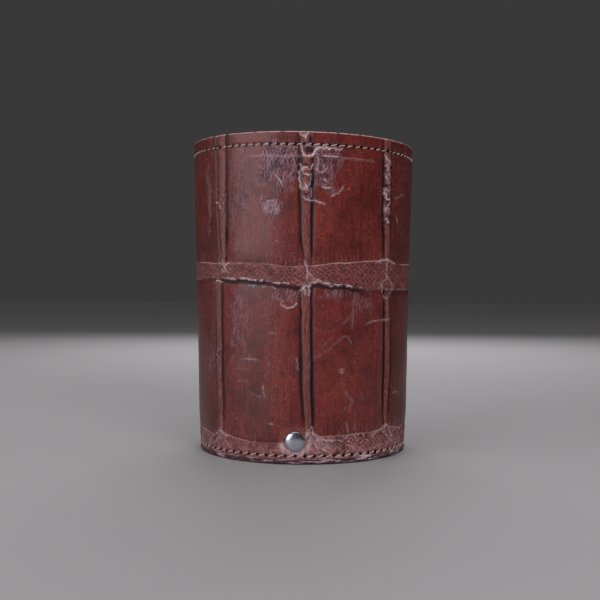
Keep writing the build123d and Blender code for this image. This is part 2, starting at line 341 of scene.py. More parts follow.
hide = dict(
    turn=3.7,  # degrees from the rivet to the middle of the hide's pattern
    lapEdge=174.1,  # where the top end of the wrap stops, degrees from the rivet
    lapRise=0.42, tileRise=0.2, ridgeRise=0.62, grooveDepth=0.55, undercut=0.6, channel=0.2,
    # round the cup, as (degrees, value): heights of the belt's edges and of the foot band, how far the belt
    # folds over, how worn its fold, the foot and the rim are, how smooth the foot is, and how dark the hide
    # is, partly its own tone and partly painted shade that darkens the sides beyond about 45 degrees
    beltTop=[(-180, 70), (-140, 69), (-96, 70.4), (-70, 69.7), (-45, 69.2), (-20, 69), (-4, 68), (8, 68.6),
             (15, 69.3), (30, 70), (46, 70.8), (65, 69.5), (96, 70.6), (120, 69.2), (143, 70.4), (180, 69.6)],
    beltLow=[(-180, 62), (-140, 61.4), (-96, 63.2), (-60, 64), (-30, 63.5), (-15, 62.5), (0, 61), (4, 61.6),
             (8, 62.5), (18, 61.5), (35, 60.5), (65, 60.2), (96, 61.5), (120, 62.6), (143, 61), (180, 62)],
    footTop=[(-180, 8.6), (-142, 10), (-120, 7.8), (-96, 10.2), (-75, 9), (-60, 8.3), (-52, 8.7), (-48, 10.2),
             (-44, 8.9), (-35, 7.7), (-20, 7.3), (-6, 7.6), (0, 9), (4, 11.5), (10, 9.6), (20, 9.9), (40, 10.2),
             (46, 11), (49, 12.1), (53, 11), (65, 9.5), (96, 11.4), (120, 8.4), (143, 10.8), (180, 8.6)],
    fold=[(-180, 0.5), (-90, 0.6), (-76, 0.25), (-52, 0.3), (-46, 0.9), (-30, 1), (26, 1), (33, 0.5), (60, 0.4),
          (90, 0.6), (180, 0.5)],
    foldWear=[(-180, 0.4), (-60, 0.3), (-46, 0.6), (-40, 1), (-15, 0.9), (0, 1), (25, 0.9), (32, 0.4), (60, 0.5),
              (180, 0.4)],
    footWear=[(-70, 0.4), (-62, 0.5), (-50, 0.15), (-5, 0.3), (2, 0.8), (25, 1), (62, 0.9), (75, 0.3)],
    rimWear=[(-60, 0), (-20, 0.3), (0, 1), (16, 0.9), (24, 0.1)],
    smoothFoot=[(-180, 0.3), (-62, 0.2), (-52, 0.1), (-45, 0.85), (-10, 0.85), (-3, 0.15), (30, 0), (42, 0.3),
                (60, 0.1), (180, 0.3)],
    tone=[(-180, 0.3), (-146, 0.1), (-138, 0.5), (-100, 0.4), (-92, 0.3), (-49, 0.6), (-43, 0), (44, 0), (50, 1),
          (93, 0.6), (100, 0.2), (140, 0.3), (147, 0.5), (180, 0.3)],
    # each ridge: its line (height, degrees, half width), the grooves on its left and right (height,
    # depth, half width), its knobs (from, to, strength), and True where it splits into strands
    upperRidges=[
        ([(69, -43.4, 1.2), (74, -43.5, 1.5), (82, -43.7, 2), (92, -44, 2.3), (114, -44, 2.5)],
         [(70, 0.5, 0.6), (76, 0.8, 0.8), (90, 1, 0.9), (114, 0.9, 0.8)],
         [(70, 0.5, 0.5), (78, 1, 0.7), (90, 0.9, 0.8), (114, 0.8, 0.7)], (88, 94, 0.5)),
        ([(69, 2.4, 0.8), (72, 2.2, 1.3), (76, 1.6, 1.8), (90, 1.3, 2.1), (102, 1.4, 2.3), (114, 1.8, 2.7)],
         [(70, 0.4, 0.5), (74, 0.9, 0.7), (100, 1, 0.8), (107, 0.9, 0.8), (112, 0.6, 0.7)],
         [(70, 0.4, 0.5), (74, 0.9, 0.9), (90, 1, 1), (103, 0.9, 0.8), (109, 0.2, 0.5)], (92, 113, 0.35)),
        ([(69, 46.9, 1.1), (74, 46.9, 1.4), (84, 46.6, 1.8), (92, 46.4, 2), (104, 46.2, 2.1), (114, 46, 2.3)],
         [(71, 0.6, 0.8), (80, 0.9, 1), (95, 1, 0.9), (107, 0.9, 0.8), (113, 0.6, 0.7)],
         [(71, 0.3, 0.5), (80, 0.6, 0.8), (90, 0.9, 0.9), (105, 0.7, 0.8), (113, 0.3, 0.6)], (84, 107, 0.9)),
        ([(69, 96.8, 1.2), (80, 96.2, 2), (100, 96, 2.4), (114, 95.6, 2.6)],
         [(70, 0.5, 0.6), (80, 1, 0.9), (114, 0.8, 0.8)],
         [(70, 0.5, 0.6), (80, 0.9, 0.8), (114, 0.8, 0.8)], (96, 107, 0.7)),
        ([(69, 143.6, 1.1), (82, 143, 1.8), (98, 143.4, 2.3), (114, 143.5, 2.4)],
         [(70, 0.5, 0.6), (84, 0.9, 0.9), (114, 0.8, 0.8)],
         [(70, 0.5, 0.6), (84, 1, 0.9), (114, 0.9, 0.8)], (88, 101, 0.6)),
        ([(69, -142, 1.2), (80, -142.4, 1.9), (100, -142, 2.4), (114, -141.6, 2.5)],
         [(70, 0.5, 0.6), (80, 1, 0.8), (114, 0.9, 0.8)],
         [(70, 0.5, 0.6), (80, 0.9, 0.9), (114, 0.8, 0.8)], (99, 110, 0.8)),
        ([(69, -95.2, 1.2), (82, -95.6, 1.9), (100, -95.2, 2.3), (114, -94.8, 2.5)],
         [(70, 0.5, 0.6), (82, 0.9, 0.8), (114, 0.9, 0.8)],
         [(70, 0.5, 0.6), (82, 1, 0.8), (114, 0.8, 0.8)], (86, 96, 0.6)),
    ],
    lowerRidges=[
        ([(9, -47.6, 1.1), (14, -47.7, 1.5), (22, -48, 1.8), (37, -48.6, 1.9), (39.5, -48.1, 1.7), (50, -48.1, 1.8),
          (63, -48.2, 1.9)],
         [(12, 0.4, 0.6), (20, 0.8, 0.8), (38, 0.9, 0.9), (60, 0.8, 0.7)],
         [(12, 0.4, 0.6), (20, 1, 0.9), (45, 1, 0.8), (60, 0.9, 0.9)], (35, 40, 0.5)),
        ([(6, 3.4, 1.3), (12, 3.1, 1.3), (18, 2.5, 1.6), (30, 1.9, 1.8), (45, 1.6, 1.9), (57, 1.5, 2),
          (61, 1.5, 2.5)],
         [(12, 0.3, 0.5), (16, 0.9, 0.8), (35, 1, 0.9), (50, 0.8, 0.7), (60, 0.7, 0.6)],
         [(12, 0.7, 0.9), (20, 1, 1.1), (40, 1, 0.9), (52, 1, 0.8), (59, 0.8, 0.8)], (0, 1, 0), True),
        ([(11, 49.2, 0.9), (16, 49, 1.4), (25, 48.7, 1.6), (40, 49.2, 1.9), (50, 48.6, 1.6), (57, 47.6, 1.3)],
         [(14, 0.5, 0.6), (25, 1, 0.9), (55, 1, 0.8)],
         [(12, 0.3, 0.5), (16, 0.9, 0.9), (30, 1, 1), (46, 0.8, 0.8), (54, 0.3, 0.5)], (22, 25, 0.4)),
        ([(10, 97.4, 1.1), (20, 96.9, 1.7), (45, 96.2, 1.9), (62, 96.6, 1.4)],
         [(12, 0.4, 0.6), (22, 1, 0.9), (60, 0.8, 0.8)],
         [(12, 0.4, 0.6), (22, 0.9, 0.8), (60, 0.8, 0.8)], (30, 38, 0.5)),
        ([(10, 142.6, 1.1), (20, 142.9, 1.6), (40, 143.3, 1.9), (62, 143, 1.4)],
         [(12, 0.4, 0.6), (22, 0.9, 0.9), (60, 0.9, 0.8)],
         [(12, 0.4, 0.6), (22, 1, 0.9), (60, 0.8, 0.8)], (44, 52, 0.4)),
        ([(10, -142.8, 1.1), (20, -142.4, 1.6), (42, -142, 1.9), (62, -142.3, 1.4)],
         [(12, 0.4, 0.6), (22, 1, 0.8), (60, 0.8, 0.8)],
         [(12, 0.4, 0.6), (22, 0.9, 0.9), (60, 0.9, 0.8)], (18, 26, 0.5)),
        ([(10, -96, 1.1), (20, -95.5, 1.7), (40, -95, 1.8), (62, -95.4, 1.4)],
         [(12, 0.4, 0.6), (22, 0.9, 0.8), (60, 0.8, 0.8)],
         [(12, 0.4, 0.6), (22, 1, 0.8), (60, 0.8, 0.8)], (40, 46, 0.4)),
    ],
    # where ridges meet the soft skin and creases fan out: (degrees, height)
    junctions=[
        (2.2, 67.8), (1.6, 61.2), (-43.4, 69), (-48.4, 63.2), (46.8, 70.2), (47.4, 61), (-47.8, 10.2), (3.4, 11.4),
        (49, 11.8), (96.8, 70), (96.6, 62), (97.4, 10.6), (143.6, 70), (143, 61.4), (142.6, 10.2), (-142, 69),
        (-142.3, 61.8), (-142.8, 9.6), (-95.2, 70), (-95.4, 63), (-96, 10),
    ],
    # swellings on the knobbly ridges, and hollows between them that are painted dark as shade: (degrees, height, half
    # sizes, rise)
    lumps=[
        (1.5, 112.3, 1.5, 1.2, 0.3), (2.3, 104.3, 2.3, 0.9, 0.42), (1.6, 100.5, 1.5, 0.7, 0.38),
        (1.3, 97.2, 1.7, 1.5, 0.42), (1.7, 94.8, 1.3, 0.8, 0.34), (3.7, 93, 0.8, 1.5, 0.3),
        (45.6, 105.6, 1.8, 1.2, 0.3), (46.8, 102.6, 1.6, 1, 0.36), (45.8, 99.6, 1.7, 0.8, 0.36),
        (47.2, 97.4, 1.3, 0.9, 0.34), (46, 94.6, 1.6, 1.1, 0.34), (47, 91.4, 1.4, 1, 0.34),
        (46.2, 88.6, 1.4, 0.9, 0.3), (-44.4, 92.6, 1.4, 1.1, 0.22),
    ],
    dents=[
        (2.7, 107.8, 2.3, 1.6, 0.45), (0.9, 102.5, 1.6, 0.6, 0.25), (-0.9, 103.8, 0.8, 2, 0.35),
        (4.7, 98.2, 0.9, 2.8, 0.4), (3.5, 111.2, 0.9, 1.5, 0.5), (0, 98.8, 0.9, 0.6, 0.2),
        (3.1, 95.8, 0.9, 0.8, 0.25), (0.9, 92.6, 1.3, 0.5, 0.2), (47.2, 104.2, 1.2, 0.5, 0.3),
        (45.2, 101, 1.4, 0.6, 0.3), (46.9, 99.2, 0.9, 0.8, 0.3), (45.2, 96.8, 1.1, 0.9, 0.35),
        (46.8, 93.1, 1.4, 0.6, 0.35), (45.6, 90.2, 1.2, 0.7, 0.35), (46.8, 86.6, 1.4, 0.5, 0.3),
    ],
    # wrinkles and nicks: half width, rise, paleness (pale scratches, and a painted highlight along the wrinkles),
    # then the path in (degrees, height)
    marks=[
        (0.8, 0.28, 0.18, (5, 36), (9, 38), (14, 40.3), (18, 43)),
        (0.8, 0.26, 0.26, (17.4, 42.6), (20, 44.1), (22.4, 44.2), (24.5, 42)),
        (0.7, 0.18, 0.12, (9, 41), (12, 42.2), (15, 44.4)), (0.9, -0.22, 0, (17, 45.2), (20, 46.8), (24, 50.5)),
        (0.4, 0.14, 0.25, (20, 48.5), (23.6, 51)), (0.6, 0.15, 0.25, (25, 47), (25.4, 52), (25, 55), (26.5, 59)),
        (0.5, -0.16, 0, (22, 25.6), (23.6, 24), (25.6, 22.8), (24.4, 20), (23, 16), (23.2, 13.5)),
        (0.4, 0.1, 0.28, (22, 25), (23.2, 23.6), (26, 21.9)), (0.45, 0.12, 0.22, (25.3, 21.5), (23.8, 18.5)),
        (0.4, 0.14, 0.34, (22.6, 14), (23.4, 11.5), (23.8, 9)), (0.4, 0.1, 0.25, (27.2, 13.5), (27.8, 10.5)),
        (0.4, 0.1, 0.25, (31, 24), (31.8, 22.4)),
        (0.35, 0.06, 0.37, (34, 48.6), (38, 49.4), (44, 49.6), (48, 49.9), (51, 50)),
        (0.3, 0.03, 0.46, (18.8, 32.6), (20.2, 32.9), (20.4, 31.4), (19.2, 31.6)),
        (0.6, 0.16, 0.6, (-10.5, 55), (-9, 54.2), (-6.6, 53.8), (-4.2, 54.6), (-3, 55.6)),
        (0.4, 0.1, 0.25, (-13, 57.5), (-11.4, 56.4), (-9.2, 56.2)),
        (1.3, 0.08, 0.14, (-37, 45), (-35.6, 49), (-34, 53), (-31.4, 56)),
        (0.22, 0, 0.37, (-30.5, 36), (-27, 36.2), (-23.4, 35.9)), (0.22, 0, 0.19, (-33, 32.4), (-29.5, 32.6)),
        (0.22, 0, 0.22, (-35, 28.2), (-29, 28.5)), (0.22, 0, 0.22, (-26.6, 24.4), (-22, 23), (-19, 23.6)),
        (0.55, -0.05, 0.37, (-20.2, 27), (-19.6, 23.2)), (0.35, 0.04, 0.43, (-17, 13.9), (-15.4, 14)),
        (0.3, 0.03, 0.37, (-16, 45.2), (-14.8, 45.1)), (0.6, 0.16, 0.34, (-2.9, 36.6), (-2.6, 34.6), (-2.2, 33)),
        (0.28, 0.05, 0.3, (-27, 105.8), (-10, 105.5), (0, 105.6), (16, 105.6), (24, 105.4), (36, 105.2)),
        (0.6, 0.15, 0.7, (-48.2, 90.6), (-46, 90.4), (-45, 88.8)), (0.35, 0.05, 0.5, (6, 90.2), (10, 89.6)),
        (0.5, 0.1, 0.4, (6, 101.4), (7.6, 99.8), (10.4, 100.8), (9.4, 102.6)),
        (0.35, 0.05, 0.5, (9.6, 95.4), (13, 94.8)), (0.3, 0.04, 0.4, (13.6, 92.4), (17.4, 93.6), (19.4, 95.6)),
        (0.4, 0.05, 0.3, (53.5, 93.4), (58, 94.4), (62, 95.2)),
        (0.4, 0.06, 0.37, (55.5, 23.2), (57.4, 23.4), (60, 23)), (0.5, 0.05, 0.31, (-61.5, 49.9), (-60, 50)),
        (0.45, 0.06, 0.75, (-12.6, 98.6), (-11, 97.2), (-10.2, 95.8)),
        (0.5, 0.34, 1.25, (-1, 109), (-0.6, 107.2), (0.2, 105.9), (1.4, 105.3), (2.4, 105.5)),
        (0.5, 0.34, 1.25, (5.9, 107.8), (5.2, 106.6), (4.1, 105.6), (2.8, 105.4)),
        (0.35, 0.1, 0.5, (-0.8, 109.2), (1.6, 109.4), (3.8, 109.3)),
        (0.4, 0.25, 1, (-1.3, 102.6), (-0.9, 101.6), (-0.3, 100.9)),
        (0.4, 0.25, 1, (4.6, 102.8), (4.2, 102.1), (3.4, 101.3)), (0.4, 0.15, 0.8, (0.5, 101.9), (1.7, 101.7)),
        (0.6, 0.3, 1, (0.8, 99.3), (2.5, 99.2)),
        (0.3, 0.15, 0.85, (-1.9, 99.9), (-1.7, 97.5), (-1.2, 94.9), (0.1, 93.9), (0.7, 94)),
        (0.5, 0.25, 0.9, (1.2, 95.9), (1.9, 95.2), (1.7, 94.2)),
        (0.45, 0.15, 0.5, (3.9, 99.8), (3.6, 97.4), (3, 95.8)), (0.5, 0.15, 0.5, (3.9, 94.4), (3.7, 91.6)),
        (0.3, 0.15, 0.65, (0.4, 91.3), (1.9, 90.9), (3.3, 90.8), (5.4, 90.5), (7.8, 90.2)),
        (0.4, 0.1, 0.6, (-1.5, 113.6), (-1.2, 112.6), (0.2, 112.4)),
        (0.6, 0.2, 0.9, (2.3, 113.8), (1.7, 112.6), (1, 111.2)),
        (0.6, 0.08, 0.5, (6.2, 107.6), (7.3, 104.2), (6.6, 101.2), (7.2, 100.2), (8.8, 100), (10.7, 101.4)),
        (0.5, 0.1, 0.8, (6.8, 108.4), (8.2, 108.9), (9.6, 108.2)),
        (0.5, 0.08, 0.9, (11, 108.7), (12.4, 108.2), (14, 108.6)),
        (0.5, 0.08, 0.85, (15.4, 108.1), (17, 107.7), (18.4, 108.4)),
        (0.4, 0.05, 0.75, (9.9, 105.9), (13, 105.7), (16.6, 105.8)), (0.35, 0.05, 0.6, (10.1, 97.8), (11.2, 97.3)),
        (0.4, 0.06, 0.8, (11.4, 95.1), (12.8, 94.9)), (0.4, 0.2, 0.7, (44.2, 107.6), (45.2, 106.2), (47.4, 106)),
        (0.4, 0.2, 0.75, (47.8, 105), (45.6, 104), (44.6, 102.8)),
        (0.4, 0.2, 0.8, (44.8, 101.8), (47.2, 101.2), (48, 99.6)),
        (0.4, 0.2, 0.8, (44.6, 100.2), (45.8, 98.6), (47.4, 98.4)),
        (0.4, 0.2, 0.75, (48, 97), (46.6, 95.8), (44.8, 96.2)),
        (0.4, 0.2, 0.95, (44.6, 94.6), (45.2, 92.8), (47.2, 92.2), (48, 93.6)),
        (0.4, 0.2, 0.75, (47.8, 91.2), (46.2, 90.6), (45, 89)),
        (0.4, 0.2, 0.7, (47.6, 89.4), (47.2, 87.4), (45.8, 86)),
        (0.45, 0.2, 0.95, (45.4, 84.8), (46.6, 84.2), (48.2, 85.4)), (0.5, 0.08, 0.5, (55, 86.6), (56, 84.6)),
        (0.5, 0.15, 1, (-50, 62.6), (-48.6, 63.3), (-46.6, 62.8)),
        (0.5, 0.2, 0.9, (-1, 60.2), (0.4, 61.4), (2, 61.2), (4.4, 62.4)), (0.4, 0.1, 0.8, (0.4, 61.4), (0.8, 59)),
        (0.4, 0.1, 0.8, (3.4, 61.8), (3, 58.6)), (0.4, 0.12, 0.8, (4.4, 62.4), (7, 63.6), (10, 62.6), (14, 61.6)),
        (0.5, 0.16, 0.55, (1, 69.5), (2.4, 66.4), (1.8, 63.2)), (0.35, 0.1, 0.6, (2.4, 66.4), (5.2, 64.2)),
        (0.4, 0.1, 0.7, (-46.6, 69.4), (-43, 68.2), (-40.4, 69.2)), (0.5, 0.1, 0.6, (-43.4, 70), (-43.2, 66.4)),
        (0.3, 0.06, 0.5, (-43.2, 68), (-45.4, 65.6)), (0.3, 0.06, 0.5, (-43.2, 68), (-40.6, 65.8)),
        (0.4, 0.12, 0.7, (39.4, 69.6), (42.6, 70.9), (46.4, 71.2), (49.4, 70.6), (54, 69.8)),
        (0.7, 0.25, 0.5, (46.8, 70.8), (46.6, 66), (48.4, 63.8)),
        (0.5, 0.15, 0.35, (43.4, 61.8), (44.6, 63.4), (48, 64.2), (51, 63), (52, 60.4), (49, 58.2), (46.6, 57.2)),
        (0.4, 0.1, 0.5, (43, 62), (44.4, 59), (46, 57.6)),
        (0.5, 0.12, 0.6, (-52, 8.6), (-49.6, 9.2), (-47.8, 10.6), (-46, 9.2), (-43, 8.2)),
        (0.4, 0.1, 0.5, (-47.8, 10.4), (-50.4, 7), (-53, 5.4)), (0.4, 0.1, 0.45, (-47.8, 10.4), (-48.2, 6.4)),
        (0.4, 0.1, 0.5, (-47.6, 10.2), (-44.8, 6.8), (-42, 5)),
        (0.45, 0.14, 0.7, (48, 9.8), (48.4, 11.6), (49.4, 12.2), (51, 11.4), (54, 8.6), (56.6, 6.4)),
        (0.4, 0.1, 0.5, (48, 9.8), (49.4, 8.4), (52.6, 6.6), (56, 5.6)),
        (0.4, 0.08, 0.5, (38, 8.4), (40.6, 9.6), (44, 10.4), (48, 11.2)),
        (0.5, 0.14, 0.75, (4.6, 13), (5.4, 10.6), (8, 9.2), (12, 8.4), (20, 8)),
        (0.5, 0.14, 0.6, (3, 12), (3.6, 9.4), (3.4, 6.4)), (0.4, 0.1, 0.6, (2.2, 12), (1.6, 9), (2.6, 6)),
        (0.4, 0.1, 0.6, (6, 9.6), (10, 7), (14, 6.2)), (0.4, 0.1, 0.6, (4, 8.6), (7.4, 6.2), (12, 4.8)),
    ],
    # worn patches, the two at -33 degrees being painted mauve sheen on the left tiles, and where the red-brown glows
    # more orange: middle, half sizes, strength
    scuffs=[
        (-12, 101.5, 11, 11, 0.95), (-15, 89.3, 6.4, 4.4, 1.3), (-29.5, 91, 4.4, 4, 0.45), (-33, 96, 10, 22, 0.26),
        (11, 102, 7, 9, 0.65), (-33, 48, 7, 14, 0.34), (-8, 58, 9, 3, 0.6), (17, 59, 9, 2.6, 0.6),
        (30, 57, 12, 4, 0.35), (52, 8, 14, 5, 0.4), (-57, 35, 8, 9, 0.35), (-55, 92, 2.6, 13, 0.5),
        (110, 90, 13, 7, 0.36), (128, 40, 8, 14, 0.3), (-118, 52, 13, 7, 0.36), (-112, 100, 11, 6, 0.36),
        (-160, 26, 8, 12, 0.3),
    ],
    warmth=[
        (9, 85, 7, 9, 1), (-5, 94, 6, 7, 0.7), (15, 31, 12, 13, 0.8), (-12, 30, 8, 22, 0.6), (-42, 55, 3, 6, 0.6),
        (-37, 78, 2, 9, 0.6), (60, 95, 12, 12, 0.5), (-66, 90, 12, 16, 0.5), (120, 25, 14, 10, 0.8),
        (-120, 84, 12, 10, 0.8), (160, 88, 8, 12, 0.6),
    ],
)


def patches(spots, a, z, ragged):
    total = np.zeros_like(a)
    for middleA, middleZ, halfA, halfZ, strength in spots:
        reach = np.hypot((a - middleA) / halfA, (z - middleZ) / halfZ) + ragged
        total = np.maximum(total, strength * (1 - eased(0.55, 1.1, reach)))
    return total


def hideRelief(a, z):
    # a is in degrees from the middle of the pattern, z in millimetres up the cup
    x, level, nothing = a * degreeArc, z * 0, np.zeros_like(a)
    coarse, middling, fine = makeNoise(3), makeNoise(5), makeNoise(7)
    beltTop = curve(hide["beltTop"], a) + 0.18 * middling(x / 3.1, level)
    beltLow = curve(hide["beltLow"], a) + 0.28 * middling(x / 2.3 + 9, level)
    footTop = curve(hide["footTop"], a) + 0.2 * middling(x / 3 + 31, level)
    ridge, groove, knob, strand, gap = nothing, nothing, nothing, nothing, nothing + 99.0
    for row, inRow in (
        ("upperRidges", eased(-1.5, 0.8, z - beltTop)),
        ("lowerRidges", eased(0.3, -0.5, z - beltLow) * eased(-2.2, 0.6, z - footTop)),
    ):
        for path, left, right, (low, high, strength), *split in hide[row]:
            half = curve(path, z, 2)
            side = a - (curve(path, z) + 0.25 * middling(z / 4, a * 0 + path[0][1]))
            reach = np.abs(side) / half
            ridge = np.maximum(ridge, inRow * eased(1.3, 0.78, reach) * (1 - 0.3 * np.minimum(reach, 1) ** 2))
            inKnobs = strength * eased(low - 2, low + 1, z) * eased(high + 2, high - 1, z)
            knob = np.maximum(knob, inRow * inKnobs * eased(1.35, 0.9, reach))
            for beside, sign in ((left, -1), (right, 1)):
                depth, width = curve(beside, z), curve(beside, z, 2)
                off = (sign * side - half - 0.9 * width) / width
                groove = np.maximum(groove, inRow * depth * np.exp(-off * off))
                beyond = np.maximum(sign * side - half - width, 0) * degreeArc
                gap = np.where((sign * side > 0) & (inRow > 0.5), np.minimum(gap, beyond), gap)
            if split:
                strand = np.maximum(strand, inRow * hump(side, 0.25, 0.35))
    inBelt = eased(-0.25, 0.15, z - beltLow) * eased(0.25, -0.15, z - beltTop)
    inFoot = eased(0.3, -0.3, z - footTop)
    edge = np.minimum(np.abs(z - beltTop), np.minimum(np.abs(z - beltLow), np.abs(z - footTop)))
    tile = (1 - inBelt) * (1 - inFoot) * (1 - ridge)
    pillow = hide["tileRise"] * (1 - np.exp(-np.minimum(gap, edge + 1.0) / 2.5))

    # the belt folds over the lower tiles, most of all in the middle
    fold = np.clip(curve(hide["fold"], a) + 0.2 * coarse(x / 6, level + 5), 0, 1)
    under = fold * hump(z, beltLow - 0.75 - 0.3 * coarse(x / 3, level), 0.62)
    lip = fold * eased(-0.1, 0.15, z - beltLow) * hump(z, beltLow + 0.5, 1.1)

    relief = pillow * tile
    relief += hide["ridgeRise"] * ridge - hide["grooveDepth"] * groove * (1 - 0.7 * inBelt)
    relief += 0.42 * knob * (fine(x / 1.1, z / 1.2) + 0.5 * fine(x / 0.6 + 7, z / 0.7) - 0.1)
    relief += 0.12 * ridge * (1 - knob) * middling(x / 0.55, z / 9)  # lengthwise strands
    hollow = nothing
    for spots, sign in ((hide["lumps"], 1), (hide["dents"], -1)):
        for middleA, middleZ, halfA, halfZ, rise in spots:
            spot = np.exp(-((a - middleA) / halfA) ** 2 - ((z - middleZ) / halfZ) ** 2)
            relief += sign * rise * spot
            if sign < 0:
                hollow = np.maximum(hollow, spot)
    relief -= 0.22 * strand
    relief += inBelt * (0.12 + 0.1 * middling(x / 2.6, z / 1.1) + 0.05 * fine(x / 1.2, z / 0.6))
    relief += inFoot * (0.05 + 0.1 * middling(x / 2.2 + 5, z / 1.0) + 0.05 * fine(x / 1.1 + 3, z / 0.6))
    relief += 0.28 * lip - hide["undercut"] * under
    relief -= 0.12 * hump(z, beltTop, 0.4) * (1 - ridge) + 0.14 * hump(z, footTop, 0.35) * (1 - ridge)
    relief += 0.14 * coarse(x / 12, z / 15) + 0.09 * middling(x / 5, z / 8) + 0.03 * fine(x / 1.8, z / 3.6)

    stroke, strokeSide = nothing, nothing + 2.0
    for half, rise, paleness, *path in hide["marks"]:
        field = strokeField([(p * degreeArc, q) for p, q in path], x, z)
        relief += rise * hump(field + 0.25 * fine(x / 0.9, z / 0.9), 0, half)
        near = paleness * hump(field, 0, 0.9)
        strokeSide = np.where(near > stroke, field, strokeSide)
        stroke = np.maximum(stroke, near)

    # flakes along the fold, on the knobs, by the rim and round the foot
    flakes = np.clip(0.58 + 1.2 * fine(x / 0.8, z / 0.5) + 0.5 * middling(x / 3, z / 9), 0, 1)
    flaked = np.clip(0.2 + 1.2 * fine(x / 2.6 + 8, z / 0.45), 0, 1)
    pale = curve(hide["foldWear"], a) * flakes * hump(z, beltLow + 0.3, 0.5)
    for more in (
        0.6 * flakes * eased(-32, -26, a) * eased(-8, -14, a) * hump(z, beltLow - 1.6, 0.4),
        knob * np.clip(1.5 * fine(x / 0.9, z / 1.1) - 0.45, 0, 0.6),
        0.75 * curve(hide["footWear"], a) * flaked * eased(3.4, 2.4, z) * eased(0.2, 0.9, z),
        0.5 * flaked * curve(hide["rimWear"], a) * hump(z, cup["rimRow"] - 0.9, 0.7),
    ):
        pale = np.maximum(pale, more)

    starX, starY, nearest = nothing + 30.0, nothing + 30.0, nothing + 1e9
    for middleA, middleZ in hide["junctions"]:
        offX, offZ = x - middleA * degreeArc, z - middleZ
        away = np.hypot(offX, offZ)
        closer = away < nearest
        starX, starY = np.where(closer, offX, starX), np.where(closer, offZ, starY)
        nearest = np.where(closer, away, nearest)

    for row, count in stitchRings:  # rows of stitching pull the leather down
        beat = np.cos(np.radians(a + hide["turn"]) * count)
        relief -= hide["channel"] * hump(z, row, 0.75) * (1 + 0.25 * beat)
        relief -= 0.05 * hump(z, row, 2.0)
        relief += 0.05 * hump(z, row, 2.2) * beat * (1 - hump(z, row, 0.7))
    seamX = ((a + hide["turn"]) % 360 - 180) * degreeArc
    relief -= 0.18 * eased(8, 11, z) * eased(105, 102, z) * hump(seamX, 0, 0.75)

    ragged = 0.35 * coarse(x / 3, z / 3) + 0.3 * middling(x / 1.2, z / 1.6)
    # worn patches, some of them painted mauve sheen, and wear along the very bottom
    scuff = np.maximum(patches(hide["scuffs"], a, z, ragged), 0.7 * eased(3.0, 1.6, z))
    # painted shade: the slits, the shadow under the belt's fold and the hollows darken the colour through the groove
    # mask
    dark = np.maximum(np.maximum(groove * (1 - 0.5 * inBelt), under * 0.92), hollow * 0.45)
    warm = patches(hide["warmth"], a, z, ragged)
    masks = dict(ridge=ridge, groove=dark, hollow=hollow, pale=pale, warm=warm, knob=knob)
    masks = {name: np.clip(values, 0, 1) for name, values in masks.items()}
    masks.update(
        scuff=np.clip(scuff, 0, 1.2), stroke=stroke, strokeSide=np.clip(strokeSide, -2, 2), starX=starX, starY=starY,
        belowTop=np.clip(beltTop - z, -5, 5), aboveLow=np.clip(z - beltLow, -5, 5),
        belowFoot=np.clip(footTop - z, -5, 5), smoothFoot=curve(hide["smoothFoot"], a), tone=curve(hide["tone"], a),
    )
    return relief, masks


def fromPattern(degrees):  # degrees from the middle of the hide's pattern
    return (degrees - hide["turn"] + 180) % 360 - 180


def makeWrap():
    size = dict(columns=540, rows=168, gap=0.05, reach=359.85)  # gap and reach in degrees: the two ends don't touch

    def columnDensity(degrees):
        a = fromPattern(degrees)
        dense = 1 + 0 * a
        for path, *_ in hide["upperRidges"] + hide["lowerRidges"]:
            dense = np.maximum(dense, 1 + 1.2 * hump(a, path[len(path) // 2][1], 4.5))
        return dense * (1 + 0.9 * eased(75, 60, np.abs(a)))

    def rowDensity(z):
        return 1 + 1.1 * hump(z, 65, 7) + 1.1 * hump(z, 4, 7) + 0.9 * hump(z, 110, 5) + 0.4 * hump(z, 96, 12)

    start = hide["lapEdge"] + size["gap"]
    columns = packed(start, start + size["reach"], size["columns"], columnDensity)
    top, inside = cup["height"], cup["wrap"]
    # each station: (height, inset from the outer face, share of the relief)
    stations = [(z, 0.0, 1.0) for z in packed(0.8, top - 0.75, size["rows"], rowDensity)]
    stations += [(top - 0.48, 0.03, 0.8), (top - 0.2, 0.13, 0.7), (top - 0.04, 0.4, 0.5), (top, 0.8, 0.2)]
    stations += [(top - 0.05, 1.3, 0.05)] + [(z, inside, 0.0) for z in (top - 0.3, 76.0, 38.0, 0.3)]
    stations += [(0.03, 1.3, 0.0), (0.0, 0.85, 0.1), (0.06, 0.4, 0.3), (0.3, 0.12, 0.7)]
    piece, column, row = ringPiece("outer_wrap_hide", len(columns), len(stations))
    degrees = columns[column]
    z, inset, share = np.array(stations)[row].T
    relief, masks = hideRelief(fromPattern(degrees), z)
    past = degrees - start  # the wrap's top end starts here and its other end lies under it
    under = size["reach"] - past
    relief += hide["lapRise"] * np.exp(-past / 7) * eased(0, 0.25, past + 0.08)
    relief -= 0.1 * np.exp(-under / 2.5)
    relief = np.clip(relief, -0.9, 1.1)
    putPoints(piece, roundCup(degrees, coneRadius(z, inset) + share * relief, z))
    sheetMap(piece, degrees, z)
    lapDark = np.maximum(np.exp(-under / 0.5), 0.75 * (past < 0.02))
    masks["groove"] = np.maximum(masks["groove"], lapDark)
    pointMasks(piece, **masks, cut=1 - np.clip(share * 1.3, 0, 1))
    smoothShade(piece, 75)
    return piece


def hairline(path, width):  # thin lines where path passes a whole step
    return abs(path.function("FRACT") - 0.5).span(width, width * 0.2)


def needleHoles(u, v, row, count, squash, outer, inner):  # the needle holes between the stitches of a ring, painted dark as the shade inside them
    pitch = girth / count
    across = ((u / pitch + 0.5).function("FRACT") - 0.5) * pitch
    up = v - row
    return (across * across + up * up * squash).function("SQRT").span(outer, inner)


